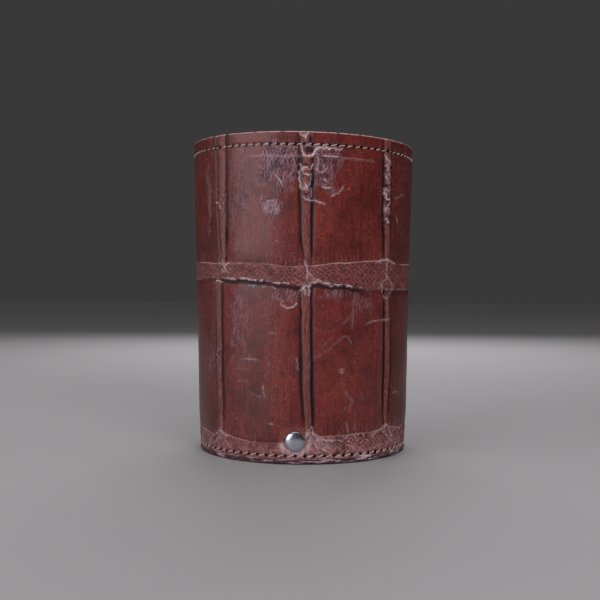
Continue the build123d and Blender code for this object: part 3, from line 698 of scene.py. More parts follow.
def hideFinish():
    finish = Finish("oiled_reptile_hide")
    sheet = finish.sheet()
    u, v = sheet.axis(0), sheet.axis(1)
    ridge, groove, hollow, knob, cut = finish.masks("ridge", "groove", "hollow", "knob", "cut")
    pale, scuff, warm, tone = finish.masks("pale", "scuff", "warm", "tone")
    stroke, strokeSide, starX, starY = finish.masks("stroke", "strokeSide", "starX", "starY")
    belowTop, aboveLow, belowFoot, smoothFoot = finish.masks("belowTop", "aboveLow", "belowFoot", "smoothFoot")
    belt = belowTop.span(-0.15, 0.15) * aboveLow.span(-0.1, 0.2) | belowFoot.span(-0.15, 0.15)
    footBand = belowFoot.span(-0.15, 0.4)
    smoothFoot = smoothFoot * footBand
    # wear, and the patches of painted mauve sheen
    wearAndSheen = scuff & 1.0

    drift = sheet.noise((0.09, 0.07, 1), 3)
    blotch = sheet.noise((0.42, 0.3, 1), 5, 0.62)
    upright = sheet.noise((2.2, 0.14, 1), 5, 0.68)
    streak = sheet.noise((0.6, 0.035, 1), 4, 0.6)
    hair = sheet.noise((5.5, 0.45, 1), 3, 0.6)
    grain = sheet.noise((1.5, 1.1, 1), 5, 0.75)
    footStreaks = sheet.noise((0.16, 2.0, 1), 4, 0.62)
    speck = sheet.noise(2.4, 4, 0.7)
    patchy = sheet.noise(0.7)
    warp = sheet.noise(0.22)
    warpMid = sheet.noise(0.5, 1)
    warpTwo = sheet.vector("ADD", (40, 17, 0)).noise(0.26)

    # crossing creases in the soft skin between the scales
    drawn = (patchy * 0.6 + speck * 0.4).span(0.32, 0.56)  # lines come and go
    falling = hairline(v * 0.54 + u * 0.5 + warp * 2 + warpMid * 0.4, 0.11) * patchy.span(0.34, 0.5)
    rising = hairline(v * 0.5 - u * 0.46 + warpTwo * 2 - warpMid * 0.4, 0.11) * patchy.span(0.64, 0.5)
    lying = hairline(v * 0.7 + u * 0.2 + warp * 1.6 - warpTwo * 1.6, 0.1) * blotch.span(0.46, 0.56)
    steep = hairline(u * 0.5 - v * 0.2 + warpTwo * 1.8 + warpMid * 0.4, 0.09) * blotch.span(0.54, 0.44)
    net = falling | rising | (lying | steep) * 0.8
    away = (starX * starX + starY * starY).function("SQRT")
    turn = finish.maths("ARCTAN2", starY, starX)
    fan = hairline(turn * 2.7 + warpMid * 1.6 + warp * 1.5, 0.15) * away.span(8, 2.5) * away.span(0.3, 1.2)
    net = net * (drawn * 0.85 + 0.15) * (blotch * 0.5 + drift * 0.5).span(0.3, 0.52) | fan * drawn
    finer = (hairline(v * 0.95 + u * 0.42 + warpTwo * 3, 0.13) * blotch.span(0.5, 0.6)
             | hairline(v * 0.9 - u * 0.5 + warp * 3, 0.13) * blotch.span(0.5, 0.4))
    thinned = (1 - footBand * (blotch * 0.6 + drift * 0.4).span(0.52, 0.4) * 0.75) * (1 - smoothFoot * 0.8)

    # short upright creases where a scale meets the soft skin
    above, aboveFoot = belowTop * -1, belowFoot * -1
    near = above.span(4.8, 0.4) * above.span(-0.2, 0.3) | aboveFoot.span(5, 0.4) * aboveFoot.span(-0.2, 0.3)
    comb = u * 0.62 + patchy * 1.4 + v * 0.03
    creases = near * hairline(comb, 0.2) * blotch.span(0.42, 0.6)
    # the troughs beside the creases are painted shade
    troughs = near * hairline(comb + 0.3, 0.3) * blotch.span(0.38, 0.6)

    # the marks, the edges of the belt, and lines on the scales and the knobs
    wobble = (speck - 0.5) * 0.6 + (patchy - 0.5) * 1.7
    side = abs(strokeSide + wobble)
    fraying = (patchy * 0.5 + speck * 0.5).span(0.32, 0.54)
    # pale marks: thin lines for scratches, and a broad painted highlight along each wrinkle
    scratch = side.span(0.26, 0.06) * 0.9 * stroke.span(0.14, 0.4) + side.span(0.85, 0.1) * 0.42
    scratch = scratch * stroke * fraying
    furrow = abs(strokeSide + wobble * 0.6 + 0.62).span(0.55, 0.1) * stroke * fraying  # painted shade on a wrinkle's shaded side
    edges = (abs(belowTop + wobble * 0.25).span(0.24, 0.08)
             | abs(belowFoot + wobble * 0.25).span(0.24, 0.08) * 0.9) * drift.span(0.34, 0.6)
    bent = sheet.noise(0.8, 3, output=1).vector("MULTIPLY", (1.4, 1.4, 0))
    crackle = sheet.vector("MULTIPLY", (0.62, 0.5, 1)).vector("ADD", bent).cells(1.0, "DISTANCE_TO_EDGE")
    crackleLine = crackle.span(0.07, 0.012) * speck.span(0.42, 0.62)
    ticks = (hairline(v * 0.3 + u * 0.16 + warp * 2, 0.045) * patchy.span(0.56, 0.66)
             | hairline(v * 0.2 - u * 0.3 + warpTwo * 2, 0.045) * patchy.span(0.42, 0.34)) * drift.span(0.42, 0.6)
    rake = (hairline(u * 0.85 + v * 0.3 + warp * 1.5, 0.12) * upright.span(0.44, 0.58)
            | hairline(u * 0.7 - v * 0.34 + warpTwo * 1.3, 0.09) * blotch.span(0.46, 0.56))
    knobLine = (hairline(v * 0.4 + u * 0.34 + patchy * 1.2, 0.16)
                | hairline(v * 0.46 - u * 0.5 + patchy * 1.6, 0.12) * 0.8)

    # painted shade in the slits, rubbed crests and flakes, and the needle holes, painted dark as the shade inside
    # them
    crest = ridge.span(0.3, 0.5) * ridge.span(0.85, 0.6)
    shade = (groove + (upright - 0.5) * 0.5).span(0.12, 0.9)
    flake = (pale + (speck - 0.5) * 1.3 + (hair - 0.5) * 0.7).span(0.22, 0.62) * pale.span(0.03, 0.3) | scratch
    rivetU, rivetV = u - girth, v - cup["rivetHeight"]
    ring = abs((rivetU * rivetU * 0.7 + rivetV * rivetV).function("SQRT") - 4.2)
    halo = (ring + (patchy - 0.5) * 1.2).span(1.7, 0.1)  # rubbed leather round the rivet
    halo = halo * (0.06 + rivetV.span(0.6, -2.4) * 0.94)
    # a painted highlight along the rim's top edge
    rimHighlight = v.span(60, 61) * cut.span(0.0, 0.06) * cut.span(0.62, 0.3)
    holes = None
    for row, count in stitchRings:
        hole = needleHoles(u, v, row, count, 1.3, 0.78, 0.5)
        holes = hole if holes is None else holes | hole

    # the bruised colour of the worn patches, and the mauve of the painted sheen patches
    bruiseAndSheen = finish.tint((blotch * 0.5 + upright * 0.5).span(0.42, 0.56), (50, 21, 31), (114, 76, 86))
    towardsStitches = v.span(8.5, 4.5) * footBand
    beltColour = finish.paint(
        (blotch * 0.8 + speck * 0.2).span(0.36, 0.62), (66, 23, 24), (106, 44, 43),
        # the foot band pales towards the stitches: pale wear, and a painted highlight
        (footBand * (upright * 0.4 + blotch * 0.6).span(0.42, 0.6) * (0.1 + towardsStitches * 0.72), (160, 102, 103)),
        (smoothFoot * 0.6, finish.tint(upright.span(0.42, 0.62), (92, 36, 34), (146, 84, 82))),
        (finer * drawn * thinned * (0.35 + footBand * 0.3), (188, 136, 130)),
        (net * thinned * (0.78 + footBand * 0.16), finish.tint(footBand, (172, 116, 108), (206, 160, 157))),
    )
    lengthwise = upright * 0.45 + hair * 0.55
    ridgeColour = finish.paint(
        lengthwise.span(0.38, 0.6), (70, 27, 25), (132, 74, 68),
        (lengthwise.span(0.55, 0.66) * 0.75, (166, 116, 110)),
    )
    base = finish.paint(
        (drift * 0.5 + blotch * 0.5).span(0.26, 0.64), (58, 17, 16), (106, 32, 27),
        # tone: partly the hide's own tone, partly painted shade darkening the sides
        (tone * 0.62, (52, 16, 12)),
        (streak.span(0.52, 0.36) * 0.42, (50, 13, 14)),
        (upright.span(0.46, 0.7) * 0.26, (130, 60, 52)),
        (upright.span(0.48, 0.32) * 0.25, (46, 12, 11)),
        (grain.span(0.5, 0.68) * 0.3, (138, 68, 62)),
        (grain.span(0.47, 0.32) * 0.3, (50, 14, 14)),
        (hair.span(0.42, 0.26) * 0.28, (38, 10, 10)),
        (warm * blotch.span(0.3, 0.6) * 0.6, (118, 44, 30)),
        (crackleLine * drift.span(0.36, 0.58) * 0.42, (152, 92, 88)),
        (ticks * 0.5, (176, 128, 118)),
        (troughs * 0.4, (44, 12, 11)),
        (creases * 0.45, (160, 98, 88)),
        # worn patches and patches of painted mauve sheen, bruised underneath and raked on top
        (wearAndSheen * 0.74, bruiseAndSheen),
        (scuff.span(0.5, 0.9) * scuff.span(1.05, 0.95) * blotch.span(0.6, 0.42) * 0.5, (48, 22, 38)),
        (wearAndSheen * (crackleLine * 0.5 | rake) * 0.75, (184, 150, 156)),
        (scuff.span(0.96, 1.16) * (speck * 0.6 + patchy * 0.4).span(0.38, 0.6) * 0.66, (160, 124, 130)),
        (belt * 0.92, beltColour),
        # the lip under the foot stitches: painted shade on its underside, with streaks of painted highlight
        (v.span(2.4, 1.5) * 0.85, finish.tint(footStreaks.span(0.52, 0.61), (46, 20, 29), (184, 150, 158))),
        (abs(v - 4.5).span(1.3, 0.3) * footStreaks.span(0.5, 0.6) * 0.45, (166, 124, 126)),
        # a painted contact shadow along the bottom edge
        (v.span(0.9, 0.3) * 0.6, (40, 18, 20)),
        (fan * drawn * away.span(6, 2) * 0.35, (168, 112, 104)),
        (ridge * 0.9, ridgeColour),
        (halo * (patchy * 0.4 + blotch * 0.6).span(0.38, 0.54) * 0.8, (212, 178, 178)),
        (crest * patchy.span(0.3, 0.55) * 0.45, (172, 124, 116)),
        (knob.span(0.1, 0.34) * 0.5, (104, 42, 38)),
        (knob * patchy.span(0.52, 0.34) * 0.7, (50, 20, 22)),
        (knob * knobLine * 0.75, (176, 136, 128)),
        # painted shade in the hollows and slits, pale edges, painted shade beside the wrinkles, then flakes with the
        # wrinkles' painted highlight, the cut edge, a painted highlight on the rim and the needle holes painted dark
        # as their shade
        (hollow.span(0.15, 0.7) * 0.85, (62, 22, 38)),
        (groove.span(0.01, 0.35) * 0.35, (44, 15, 18)),
        (shade * 0.92, (20, 8, 9)),
        (edges * 0.75, (192, 148, 141)),
        (furrow * 0.6, (40, 14, 13)),
        (flake * 0.82, (206, 178, 180)),
        (cut.span(0.5, 0.9) * 0.8, (70, 30, 24)),
        (rimHighlight * blotch.span(0.36, 0.5) * 0.75, (208, 164, 160)),
        (holes * 0.96, (6, 3, 3)),
    )

    rough = 0.14 + tone * 0.12 + blotch * 0.1 + upright * 0.16 + streak * 0.22 + wearAndSheen * 0.2 + belt * 0.18
    rough = (rough + ridge * 0.2 + groove * 0.25 + flake * 0.25 + holes * 0.3) & 0.95
    coat = (0.2 - tone * 0.14 - wearAndSheen * 0.08 - belt * 0.1 - ridge * 0.14 - groove * 0.2 - flake * 0.1) | 0.0
    height = hair * 0.35 + upright * 0.55 + speck * 0.3 + crackleLine * 0.1
    normal = finish.bump(height + creases * 0.6 - troughs * 0.5, 0.00014)
    normal = finish.bump((net + speck * 0.8) * (belt + knob & 1.0), 0.00011, normal)
    normal = finish.bump(flake * 0.5 - holes * 3.0 + wearAndSheen * speck * 0.6, 0.00012, normal)
    return finish.set(BaseColor=base, Roughness=rough, Normal=normal, IOR=1.45, CoatWeight=coat, CoatRoughness=0.2,
                      CoatIOR=1.45)


outerWrap = makeWrap()
finishPiece(outerWrap, hideFinish(), "wrap_leather", "outer_wrap")


def makeWall(name, inset, thickness, jointDegrees, columnCount, rowCount, roundInside, seed):
    noise, top, joint = makeNoise(seed), cup["height"], dict(gap=0.07, reach=359.86)
    edge = 0.5 if roundInside else 0.12
    # stations run up the outer face, over the rim, down the inner face and under the foot
    stations = [(z, 0.0, 0.0) for z in np.linspace(0.12, top - 0.12, 6)]
    stations += [(top - 0.02, 0.1, 0.2), (top - 0.01, thickness * 0.45, 0.4), (top - 0.06, thickness - edge, 0.6)]
    if roundInside:
        stations += [(top - 0.12, thickness - 0.28, 0.8), (top - 0.28, thickness - 0.12, 0.9)]
    stations += [(z, thickness, 1.0) for z in np.linspace(top - edge, 0.15, rowCount)]
    stations += [(0.01, thickness - 0.12, 0.5), (0.0, thickness * 0.5, 0.2), (0.02, 0.1, 0.0)]
    start = 180 + jointDegrees + joint["gap"]
    end = start + joint["reach"]
    columns = packed(start, end, columnCount, lambda d: 1 + 5 * hump((d - start + 180) % 360, 180, 3))
    piece, column, row = ringPiece(name, len(columns), len(stations))
    degrees = columns[column]
    z, inner, share = np.array(stations)[row].T
    x = np.radians(degrees) * cup["meanRadius"]
    nearJoint = np.minimum(degrees - start, end - degrees) * degreeArc
    relief = 0.1 * noise(x / 17, z / 22) + 0.04 * noise(x / 5 + 3, z / 6)
    relief -= 0.22 * np.exp(-nearJoint / 0.45)
    ripple = 0.03 * noise(x / 2.2, z * 0 + 4) * (z > top - 0.7)
    if roundInside:
        relief -= 0.14 * hump(z, cup["rimRow"], 0.8)
    radius = coneRadius(z, inset + inner) - share * np.clip(relief, -0.3, 0.2)
    putPoints(piece, roundCup(degrees, radius, z + ripple))
    sheetMap(piece, degrees, z + inner * (share > 0))
    cut = np.clip(eased(top - 0.55, top - 0.1, z) + eased(0.5, 0.1, z), 0, 1)
    pointMasks(piece, cut=cut, joint=np.exp(-nearJoint / 0.5))
    smoothShade(piece, 60)
    return piece


def liningFinish():
    finish = Finish("lining_leather")
    sheet = finish.sheet()
    u, v = sheet.axis(0), sheet.axis(1)
    cut, joint = finish.masks("cut", "joint")
    cloud, grain = sheet.noise(0.06, 4, 0.6), sheet.noise(1.6, 5, 0.65)
    rubbed, pores = sheet.noise((0.5, 0.08, 1), 4, 0.6), sheet.cells(2.2)
    low = v.span(34, 17)  # darker towards the bottom
    hole = needleHoles(u, v, cup["rimRow"], cup["rimCount"], 1.0, 0.6, 0.34)
    base = finish.paint(
        cloud.span(0.3, 0.7), (104, 66, 46), (138, 92, 66),
        (grain.span(0.45, 0.7) * 0.4, (156, 112, 84)),
        (rubbed.span(0.55, 0.75) * 0.45, (84, 50, 36)),
        (pores.span(0.18, 0.05) * 0.5, (70, 40, 28)),
        (low * grain.span(0.35, 0.6) * 0.5, (66, 40, 30)),
        (cut * 0.85, (74, 34, 26)),
        (joint * 0.8, (40, 22, 16)),
        # the needle holes, painted dark as the shade inside them
        (hole * 0.9, (16, 9, 7)),
    )
    rough = 0.58 + grain * 0.16 - cut * 0.22
    normal = finish.bump(grain * 0.5 + pores.span(0.0, 0.3) * 0.5 - hole * 2, 0.00008)
    return finish.set(BaseColor=base, Roughness=rough, SpecularIORLevel=0.35, SheenWeight=0.12, SheenRoughness=0.45,
                      Normal=normal)


def coreFinish():
    finish = Finish("sole_leather_edge")
    place = finish.place()
    fibre, cloud = place.noise(2.2, 5, 0.7), place.noise(0.2, 3)
    base = finish.paint(
        fibre.span(0.35, 0.65), (96, 56, 36), (148, 98, 66),
        (cloud.span(0.4, 0.6) * 0.5, (84, 42, 30)),
    )
    return finish.set(BaseColor=base, Roughness=0.5 + fibre * 0.25, SpecularIORLevel=0.35,
                      Normal=finish.bump(fibre, 0.00008))


lining = makeWall("wall_lining_leather", liningInset, cup["lining"], -16, 220, 46, True, 21)
finishPiece(lining, liningFinish(), "lining_leather", "wall_lining")
core = makeWall("wall_core_leather", coreInset, cup["core"], 16, 260, 5, False, 23)
finishPiece(core, coreFinish(), "core_leather", "wall_core")


def makePan():
    under, top, bend, outerBend = 12.8, 14.8, 1.4, 3.1
    noise = makeNoise(31)
    outer, inner = panInset, panInset + cup["pan"]
    # stations run over the top, down the outside of the skirt, up its inside and over the underside
    stations = [(radius, top) for radius in (0, 4, 9, 14, 19, 24, 28, 30.5)]
    shoulder = coneRadius(top, outer) - outerBend
    for step in range(7):
        turn = math.pi / 2 * step / 6
        stations.append((shoulder + outerBend * math.sin(turn), top - outerBend * (1 - math.cos(turn))))
    stations += [(coneRadius(z, outer), z) for z in (9.5, 7.5, 5.5, 4.0, 3.0, 2.0, 1.0, 0.35)]
    stations += [(coneRadius(0, outer + 0.2), 0.05), (coneRadius(0, outer + 1.0), 0.0)]
    stations += [(coneRadius(0, inner - 0.35), 0.12), (coneRadius(0, inner - 0.1), 0.4)]
    stations += [(coneRadius(z, inner), z) for z in (0.9, 1.6, 2.3, 3.0, 3.7, 4.6, 6.0, 7.6, 9.2, 10.6)]
    for step in range(1, 6):
        turn = math.pi / 2 * step / 5
        radius = coneRadius(under, inner) - bend * (1 - math.cos(turn))
        stations.append((radius, under - bend * (1 - math.sin(turn))))
    stations += [(radius, under) for radius in (29, 26, 22, 18, 14, 10, 6, 3, 0)]
    piece, turn, row, radius, z = discPiece("base_pan_leather", 180, stations)
    x, y = radius * np.cos(np.radians(turn)), radius * np.sin(np.radians(turn))
    skirtInside, underside = (row > 26) & (row < 38), row > 44
    channel = 0.16 * hump(z, cup["footRow"], 0.8)
    sag = 0.12 * noise(x / 11, y / 11) + 0.05 * noise(x / 4, y / 4)
    z = z + np.where(underside, sag * 1.5 - 0.25 * np.exp(-((radius / 16) ** 2)), 0)
    radius = radius + np.where(skirtInside, channel + 0.08 * noise(turn / 7, z / 3), 0)
    putPoints(piece, roundCup(turn, radius, z))
    smoothShade(piece, 70)
    return piece


def panFinish():
    finish = Finish("pressed_pan_leather")
    place = finish.place()
    cloud, grain, pebbles = place.noise(0.05, 4, 0.6), place.noise(1.1, 5, 0.65), place.cells(1.3)
    low = place.axis(2).span(1.4, 0.2)  # the edge that rubs the table
    base = finish.paint(
        cloud.span(0.3, 0.7), (86, 40, 28), (122, 66, 46),
        (grain.span(0.5, 0.72) * 0.5, (142, 88, 64)),
        (pebbles.span(0.7, 0.9) * 0.4, (58, 26, 20)),
        (low * grain.span(0.35, 0.6) * 0.7, (150, 108, 86)),
    )
    normal = finish.bump(pebbles.span(0.2, 0.9) * 0.5 + grain * 0.6, 0.00009)
    return finish.set(BaseColor=base, Roughness=0.46 + grain * 0.2, SpecularIORLevel=0.4, Normal=normal)


def makePad():
    low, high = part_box("floor_pad")
    bottom, top = low.z / mm, high.z / mm
    reach = (high.x - low.x) / 2 / mm
    noise = makeNoise(41)
    stations = [(radius, top, 1.0) for radius in (0.0, *np.linspace(1.2, reach - 1.2, 28))]
    stations += [(reach - 0.7, top - 0.03, 1), (reach - 0.35, top - 0.12, 0.8), (reach - 0.1, top - 0.35, 0.5)]
    stations += [(reach, top - 0.7, 0.3), (reach - 0.05, bottom + 0.25, 0.1), (reach - 0.3, bottom, 0.0)]
    stations += [(radius, bottom, 0.0) for radius in (26, 18, 10, 4, 0)]
    piece, turn, row, radius, z, share = discPiece("floor_pad_suede", 144, stations)
    x, y = radius * np.sin(np.radians(turn)), -radius * np.cos(np.radians(turn))
    dents = 0.16 * noise(x / 9, y / 9) + 0.1 * noise(x / 3.4 + 5, y / 3.4) + 0.05 * noise(x / 1.5, y / 1.5)
    crown = 0.35 * (1 - (radius / reach) ** 2) - 0.05
    radius = radius - 0.12 * np.abs(noise(turn / 5, z)) * share
    notch = hump(turn % 360, 180, 3.2) * eased(reach - 3, reach - 0.6, radius)  # lets the seam's threads pass
    putPoints(piece, roundCup(turn, radius - 1.0 * notch, z + share * (crown + dents)))
    smoothShade(piece, 60)
    return piece


def suedeFinish():
    finish = Finish("brushed_suede")
    place = finish.place()
    brushed, rub = place.noise((0.12, 0.3, 0.2), 4, 0.6), place.noise(0.35, 4, 0.65)
    nap = place.noise(3.2, 5, 0.75)
    base = finish.paint(
        brushed.span(0.35, 0.65), (112, 72, 50), (146, 102, 74),
        (nap.span(0.42, 0.68) * 0.6, (168, 124, 94)),
        (rub.span(0.55, 0.72) * 0.5, (86, 54, 38)),
    )
    return finish.set(BaseColor=base, Roughness=0.95, SpecularIORLevel=0.1, SheenWeight=0.5, SheenRoughness=0.5,
                      Normal=finish.bump(nap + rub * 0.8, 0.0002))


pan = makePan()
finishPiece(pan, panFinish(), "pan_leather", "base_pan")
pad = makePad()
finishPiece(pad, suedeFinish(), "pad_suede", "floor_pad")


def boardFinish():
    finish = Finish("fibre_board")
    place = finish.place()
    fibre, fleck = place.noise((0.9, 3.2, 6), 5, 0.7), place.cells(0.9)
    base = finish.paint(
        fibre.span(0.35, 0.65), (136, 104, 74), (172, 140, 106),
        (fleck.span(0.22, 0.08) * 0.6, (92, 66, 46)),
    )
    return finish.set(BaseColor=base, Roughness=0.85, SpecularIORLevel=0.25, Normal=finish.bump(fibre, 0.00006))


def useOnCad(node, finish):
    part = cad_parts[node]
    part.data.materials.clear()
    part.data.materials.append(finish.material)


useOnCad("base_board", boardFinish())


thread = dict(width=0.44, sides=8, rings=9, hook=0.5, rimGap=0.45, footGap=0.7, seamGap=0.4)


def makeStitch(length, name):
    deselect()
    bpy.ops.mesh.primitive_cylinder_add(
        vertices=thread["sides"], radius=thread["width"] / 2, depth=length, end_fill_type="TRIFAN", location=(0, 0, 0)
    )
    piece = named(name)
    bpy.ops.object.mode_set(mode="EDIT")
    bpy.ops.mesh.select_mode(type="EDGE")
    bpy.ops.mesh.select_all(action="DESELECT")
    bpy.ops.object.mode_set(mode="OBJECT")
    for edge in piece.data.edges:  # the long edges are cut into rings
        ends = [piece.data.vertices[i].co for i in edge.vertices]
        edge.select = abs(ends[0].z - ends[1].z) > length / 2
    bpy.ops.object.mode_set(mode="EDIT")
    bpy.ops.mesh.subdivide(number_cuts=thread["rings"])
    bpy.ops.object.mode_set(mode="OBJECT")
    return piece


def stitchRow(name, seats, length, slant, seed, node):
    # a seat is (place of the middle, along, outwards) in millimetres
    model = makeStitch(length, name)
    points = takePoints(model)
    x, y, t = points[:, 0], points[:, 1], points[:, 2] / (length / 2)
    draw = np.random.default_rng(seed)
    taper = np.sqrt(np.clip(1.02 - np.abs(t) ** 3.2, 0.02, 1))
    twist = 1 + 0.1 * np.cos(2 * (np.arctan2(y, x)) + 9 * t)
    deselect()
    model.select_set(True)
    for index, (place, along, outward) in enumerate(seats):
        piece = model if index == 0 else model.copy()
        if index:
            piece.data = model.data.copy()
            bpy.context.collection.objects.link(piece)
            piece.select_set(True)
        place, along, outward = (np.array(v, float) for v in (place, along, outward))
        across = np.cross(outward, along)
        lean = slant + draw.normal(0, 0.03)
        reach = length / 2 * (1 + draw.normal(0, 0.025))
        loose = 1 + draw.normal(0, 0.12)
        lift = 0.16 * loose * (1 - t ** 2) - 0.3 * np.abs(t) ** 4
        sideways = lean * t * reach - thread["hook"] * np.clip(-t - 0.35, 0, 1) ** 2  # one end dips to its hole
        spot = place + np.outer(t * reach, along) + np.outer(x * taper * twist + sideways, across)
        spot += np.outer(y * taper * twist + lift, outward)
        spot[:, 2] -= cup["rimTilt"] * spot[:, 0] * (spot[:, 2] / cup["height"]) ** 2
        putPoints(piece, spot * mm)
    bpy.context.view_layer.objects.active = model
    bpy.ops.object.join()
    model.data.update()
    smoothShade(model, 80)
    finishPiece(model, threadPaint, "thread", node)


def ringSeats(z, count, inset, facing):
    seats, radius = [], coneRadius(z, inset)
    for index in range(count):
        turn = math.radians((index + 0.5) * 360 / count)
        east, south = math.sin(turn), -math.cos(turn)
        seats.append(((radius * east, radius * south, z), (-south, east, 0), (east * facing, south * facing, 0)))
    return seats


def seamSeats(inset, facing):
    heights = [seam["low"] + seam["step"] * (index + 0.5) for index in range(seam["count"])]
    tilt = tuple(Vector((0, cup["slope"], 1)).normalized())
    return [((0, coneRadius(z, inset), z), tilt, (0, facing, -facing * cup["slope"])) for z in heights]


def threadFinish():
    finish = Finish("waxed_linen_thread")
    place, ply = finish.place(), finish.uv("UVMap")
    twist = ((ply.axis(0) * 2 + ply.axis(1) * 7) * math.tau).function("SINE") * 0.5 + 0.5
    dirt, fuzz = place.noise(0.35, 4, 0.65), place.noise(6, 3)
    base = finish.paint(
        dirt.span(0.34, 0.68), (166, 138, 128), (226, 206, 196),
        # painted shade in the grooves between the twisted plies
        ((1 - twist) * 0.45, (104, 70, 56)),
        (fuzz.span(0.55, 0.7) * 0.4, (226, 206, 190)),
    )
    normal = finish.bump(twist * 0.8 + fuzz * 0.3, 0.00012)
    return finish.set(BaseColor=base, Roughness=0.6 + dirt * 0.15, SpecularIORLevel=0.35, Normal=normal)


seam = dict(margin=7.5, pitch=3.5)
seam["low"] = cup["footRow"] + seam["margin"]
seam["height"] = cup["rimRow"] - seam["margin"] - seam["low"]
seam["count"] = round(seam["height"] / seam["pitch"])
seam["step"] = seam["height"] / seam["count"]
seamLength = seam["step"] - thread["seamGap"]
rimRing, footRing = stitchRings
rimLength = 2 * math.pi * coneRadius(cup["rimRow"]) / cup["rimCount"] - thread["rimGap"]
footLength = 2 * math.pi * coneRadius(cup["footRow"]) / cup["footCount"] - thread["footGap"]
threadPaint = threadFinish()
# each row: its seats, the length and slant of a stitch, and the seed of its unevenness
for row, side, seats, length, slant, seed in (
    ("rim", "outside", ringSeats(*rimRing, 0.12, 1), rimLength, 0.2, 51),
    ("rim", "inside", ringSeats(*rimRing, wallThickness - 0.05, -1), rimLength * 0.94, -0.1, 52),
    ("foot", "outside", ringSeats(*footRing, 0.12, 1), footLength, 0.3, 53),
    ("foot", "inside", ringSeats(*footRing, panInset + cup["pan"] - 0.05, -1), footLength * 0.84, -0.1, 54),
    ("seam", "outside", seamSeats(0.0, 1), seamLength, 0.12, 55),
    ("seam", "inside", seamSeats(wallThickness, -1), seamLength, 0.1, 56),
):
    stitchRow(f"{row}_thread_{side}", seats, length, slant, seed, f"{row}_stitches_{side}")


def makeCap(name, node, facing):
    low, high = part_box(node)
    middle = (low + high) / 2 / mm
    radius = (high.x - low.x) / 2 / mm
    outside = (low.y if facing < 0 else high.y) / mm
    depth = (high.y - low.y) / mm
    dome = dict(steps=12, reach=0.93, flatness=0.92)
    rise, sink = depth * 0.6, depth - 0.35
    # section from the crown, over the rolled edge and back under to the middle: (radius, depth from the crown)
    stations = []
    for step in range(dome["steps"] + 1):
        share = step / dome["steps"] * dome["reach"]
        stations.append((radius * share, rise * (1 - math.sqrt(1 - share * share)) * dome["flatness"]))
    stations += [(radius * 0.965, rise * 0.72), (radius * 0.99, rise * 0.86), (radius, rise * 1.02)]
    stations += [(radius * 0.995, depth * 0.78), (radius * 0.97, depth * 0.93), (radius * 0.93, depth)]
    stations += [(radius * 0.7, depth), (radius * 0.68, depth - 0.3), (radius * 0.4, sink), (0.0, sink)]
    piece, turn, row, reach, back = discPiece(name, 64, stations)
    swing = np.radians(turn)
    # the mirrored x keeps the faces outward whichever way the cap looks
    x, y, z = -facing * reach * np.cos(swing), outside - facing * back, reach * np.sin(swing) + middle.z
    putPoints(piece, np.stack([x, y, z], 1) * mm)
    smoothShade(piece, 50)
    return piece


def nickelFinish():
    finish = Finish("polished_nickel")
    place = finish.place()
    haze, scratch = place.noise(0.7, 4, 0.65), place.noise((0.8, 4, 9), 3, 0.7)
    across, up = place.axis(0), place.axis(2) - cup["rivetHeight"]  # both caps sit on one axis
    reach = (across * across + up * up).function("SQRT")
    # painted shade: a dark ring round the dome, inside its bright edge
    shadeRing = reach.span(2.3, 3.0) * reach.span(3.34, 3.2)
    base = finish.paint(
        haze.span(0.35, 0.7), (214, 218, 226), (226, 230, 238),
        (scratch.span(0.62, 0.74) * 0.12, (110, 106, 104)),
        (shadeRing * 0.4, (112, 116, 126)),
    )
    return finish.set(BaseColor=base, Metallic=1.0, Roughness=0.24 + scratch.span(0.6, 0.75) * 0.04)


nickel = nickelFinish()
for node, facing in (("rivet_cap", -1), ("rivet_back_cap", 1)):
    finishPiece(makeCap(node + "_nickel", node, facing), nickel, "rivet_nickel", node)
for node in ("rivet_post", "rivet_socket"):
    useOnCad(node, nickel)


def makeStage():
    deselect()
    bpy.ops.mesh.primitive_plane_add(size=6, location=(0, 0, 0))
    floor = bpy.context.object
    floor.name = "floor"
    finish = Finish("floor_paint")
    cloud = finish.place(1).noise(3, 3)
    finish.set(BaseColor=finish.tint(cloud, (154, 151, 148), (162, 159, 156)), Roughness=0.6)
    floor.data.materials.append(finish.material)


def lamp(name, place, size, power, reflected):
    light = bpy.data.lights.new(name, "AREA")
    light.shape, (light.size, light.size_y), light.energy = "RECTANGLE", size, power
    light.color = (0.93, 0.94, 1.0)
    holder = bpy.data.objects.new(name, light)
    bpy.context.collection.objects.link(holder)
    holder.location = place
    holder.visible_glossy = reflected
    cupMiddle = Vector((0, 0, 0.055))
    holder.rotation_euler = (cupMiddle - Vector(place)).to_track_quat("-Z", "Y").to_euler()


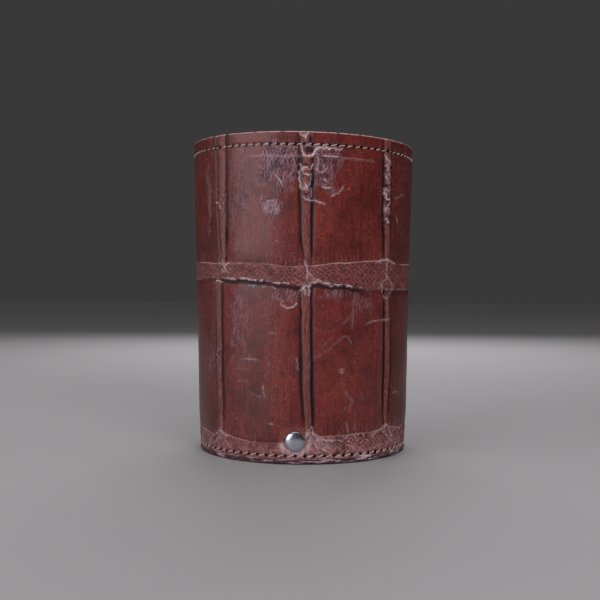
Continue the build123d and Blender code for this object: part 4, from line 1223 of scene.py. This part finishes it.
def makeWorld():
    world = bpy.data.worlds.new("studio")
    bpy.context.scene.world = world
    world.use_nodes = True
    tree = world.node_tree
    tree.nodes.clear()

    def node(kind, *values):
        made = tree.nodes.new(kind)
        for socket, value in zip(made.inputs, values):
            if isinstance(value, bpy.types.NodeSocket):
                tree.links.new(value, socket)
            else:
                socket.default_value = value
        return made

    # a faint glow lights the cup, and a dark grey is what the camera sees
    glow = node("ShaderNodeBackground", (0.9, 0.92, 1.0, 1), 0.16)
    seen = node("ShaderNodeBackground", colour(58, 57, 58), 1.0)
    rays = tree.nodes.new("ShaderNodeLightPath").outputs
    shown = rays["Is Camera Ray"]
    for name in ("Is Glossy Ray", "Is Transmission Ray"):
        either = node("ShaderNodeMath", shown, rays[name])
        either.operation = "MAXIMUM"
        shown = either.outputs[0]
    mix = node("ShaderNodeMixShader", shown, glow.outputs[0], seen.outputs[0])
    node("ShaderNodeOutputWorld", mix.outputs[0])


def makeCamera():
    view = dict(distance=0.34765, height=0.06133, around=3.7, down=0.868, aside=-0.182, roll=0.148, lens=54.12)
    around = math.radians(view["around"])
    camera = bpy.data.cameras.new("camera")
    camera.lens, camera.sensor_width, camera.clip_start = view["lens"], 36, 0.01
    holder = bpy.data.objects.new("camera", camera)
    bpy.context.collection.objects.link(holder)
    turn = Matrix.Rotation(around - math.radians(view["aside"]), 4, "Z")
    nod = Matrix.Rotation(math.radians(90 - view["down"]), 4, "X")
    roll = Matrix.Rotation(math.radians(view["roll"]), 4, "Z")
    spot = (view["distance"] * math.sin(around), -view["distance"] * math.cos(around), view["height"])
    holder.matrix_world = Matrix.Translation(spot) @ turn @ nod @ roll
    bpy.context.scene.camera = holder


makeStage()
lamp("softbox_left", place=(-0.46, -0.44, 0.27), size=(0.54, 0.5), power=2.4, reflected=True)
lamp("softbox_right", place=(0.34, -0.64, 0.36), size=(0.35, 0.35), power=3.4, reflected=False)
lamp("softbox_above", place=(0.0, 0.0, 0.75), size=(0.6, 0.6), power=1.5, reflected=True)
lamp("softbox_back", place=(0.0, 0.6, 0.42), size=(0.5, 0.4), power=3.4, reflected=False)
makeWorld()
makeCamera()
bpy.context.scene.view_settings.view_transform = "Standard"
print("stage, light and camera set")
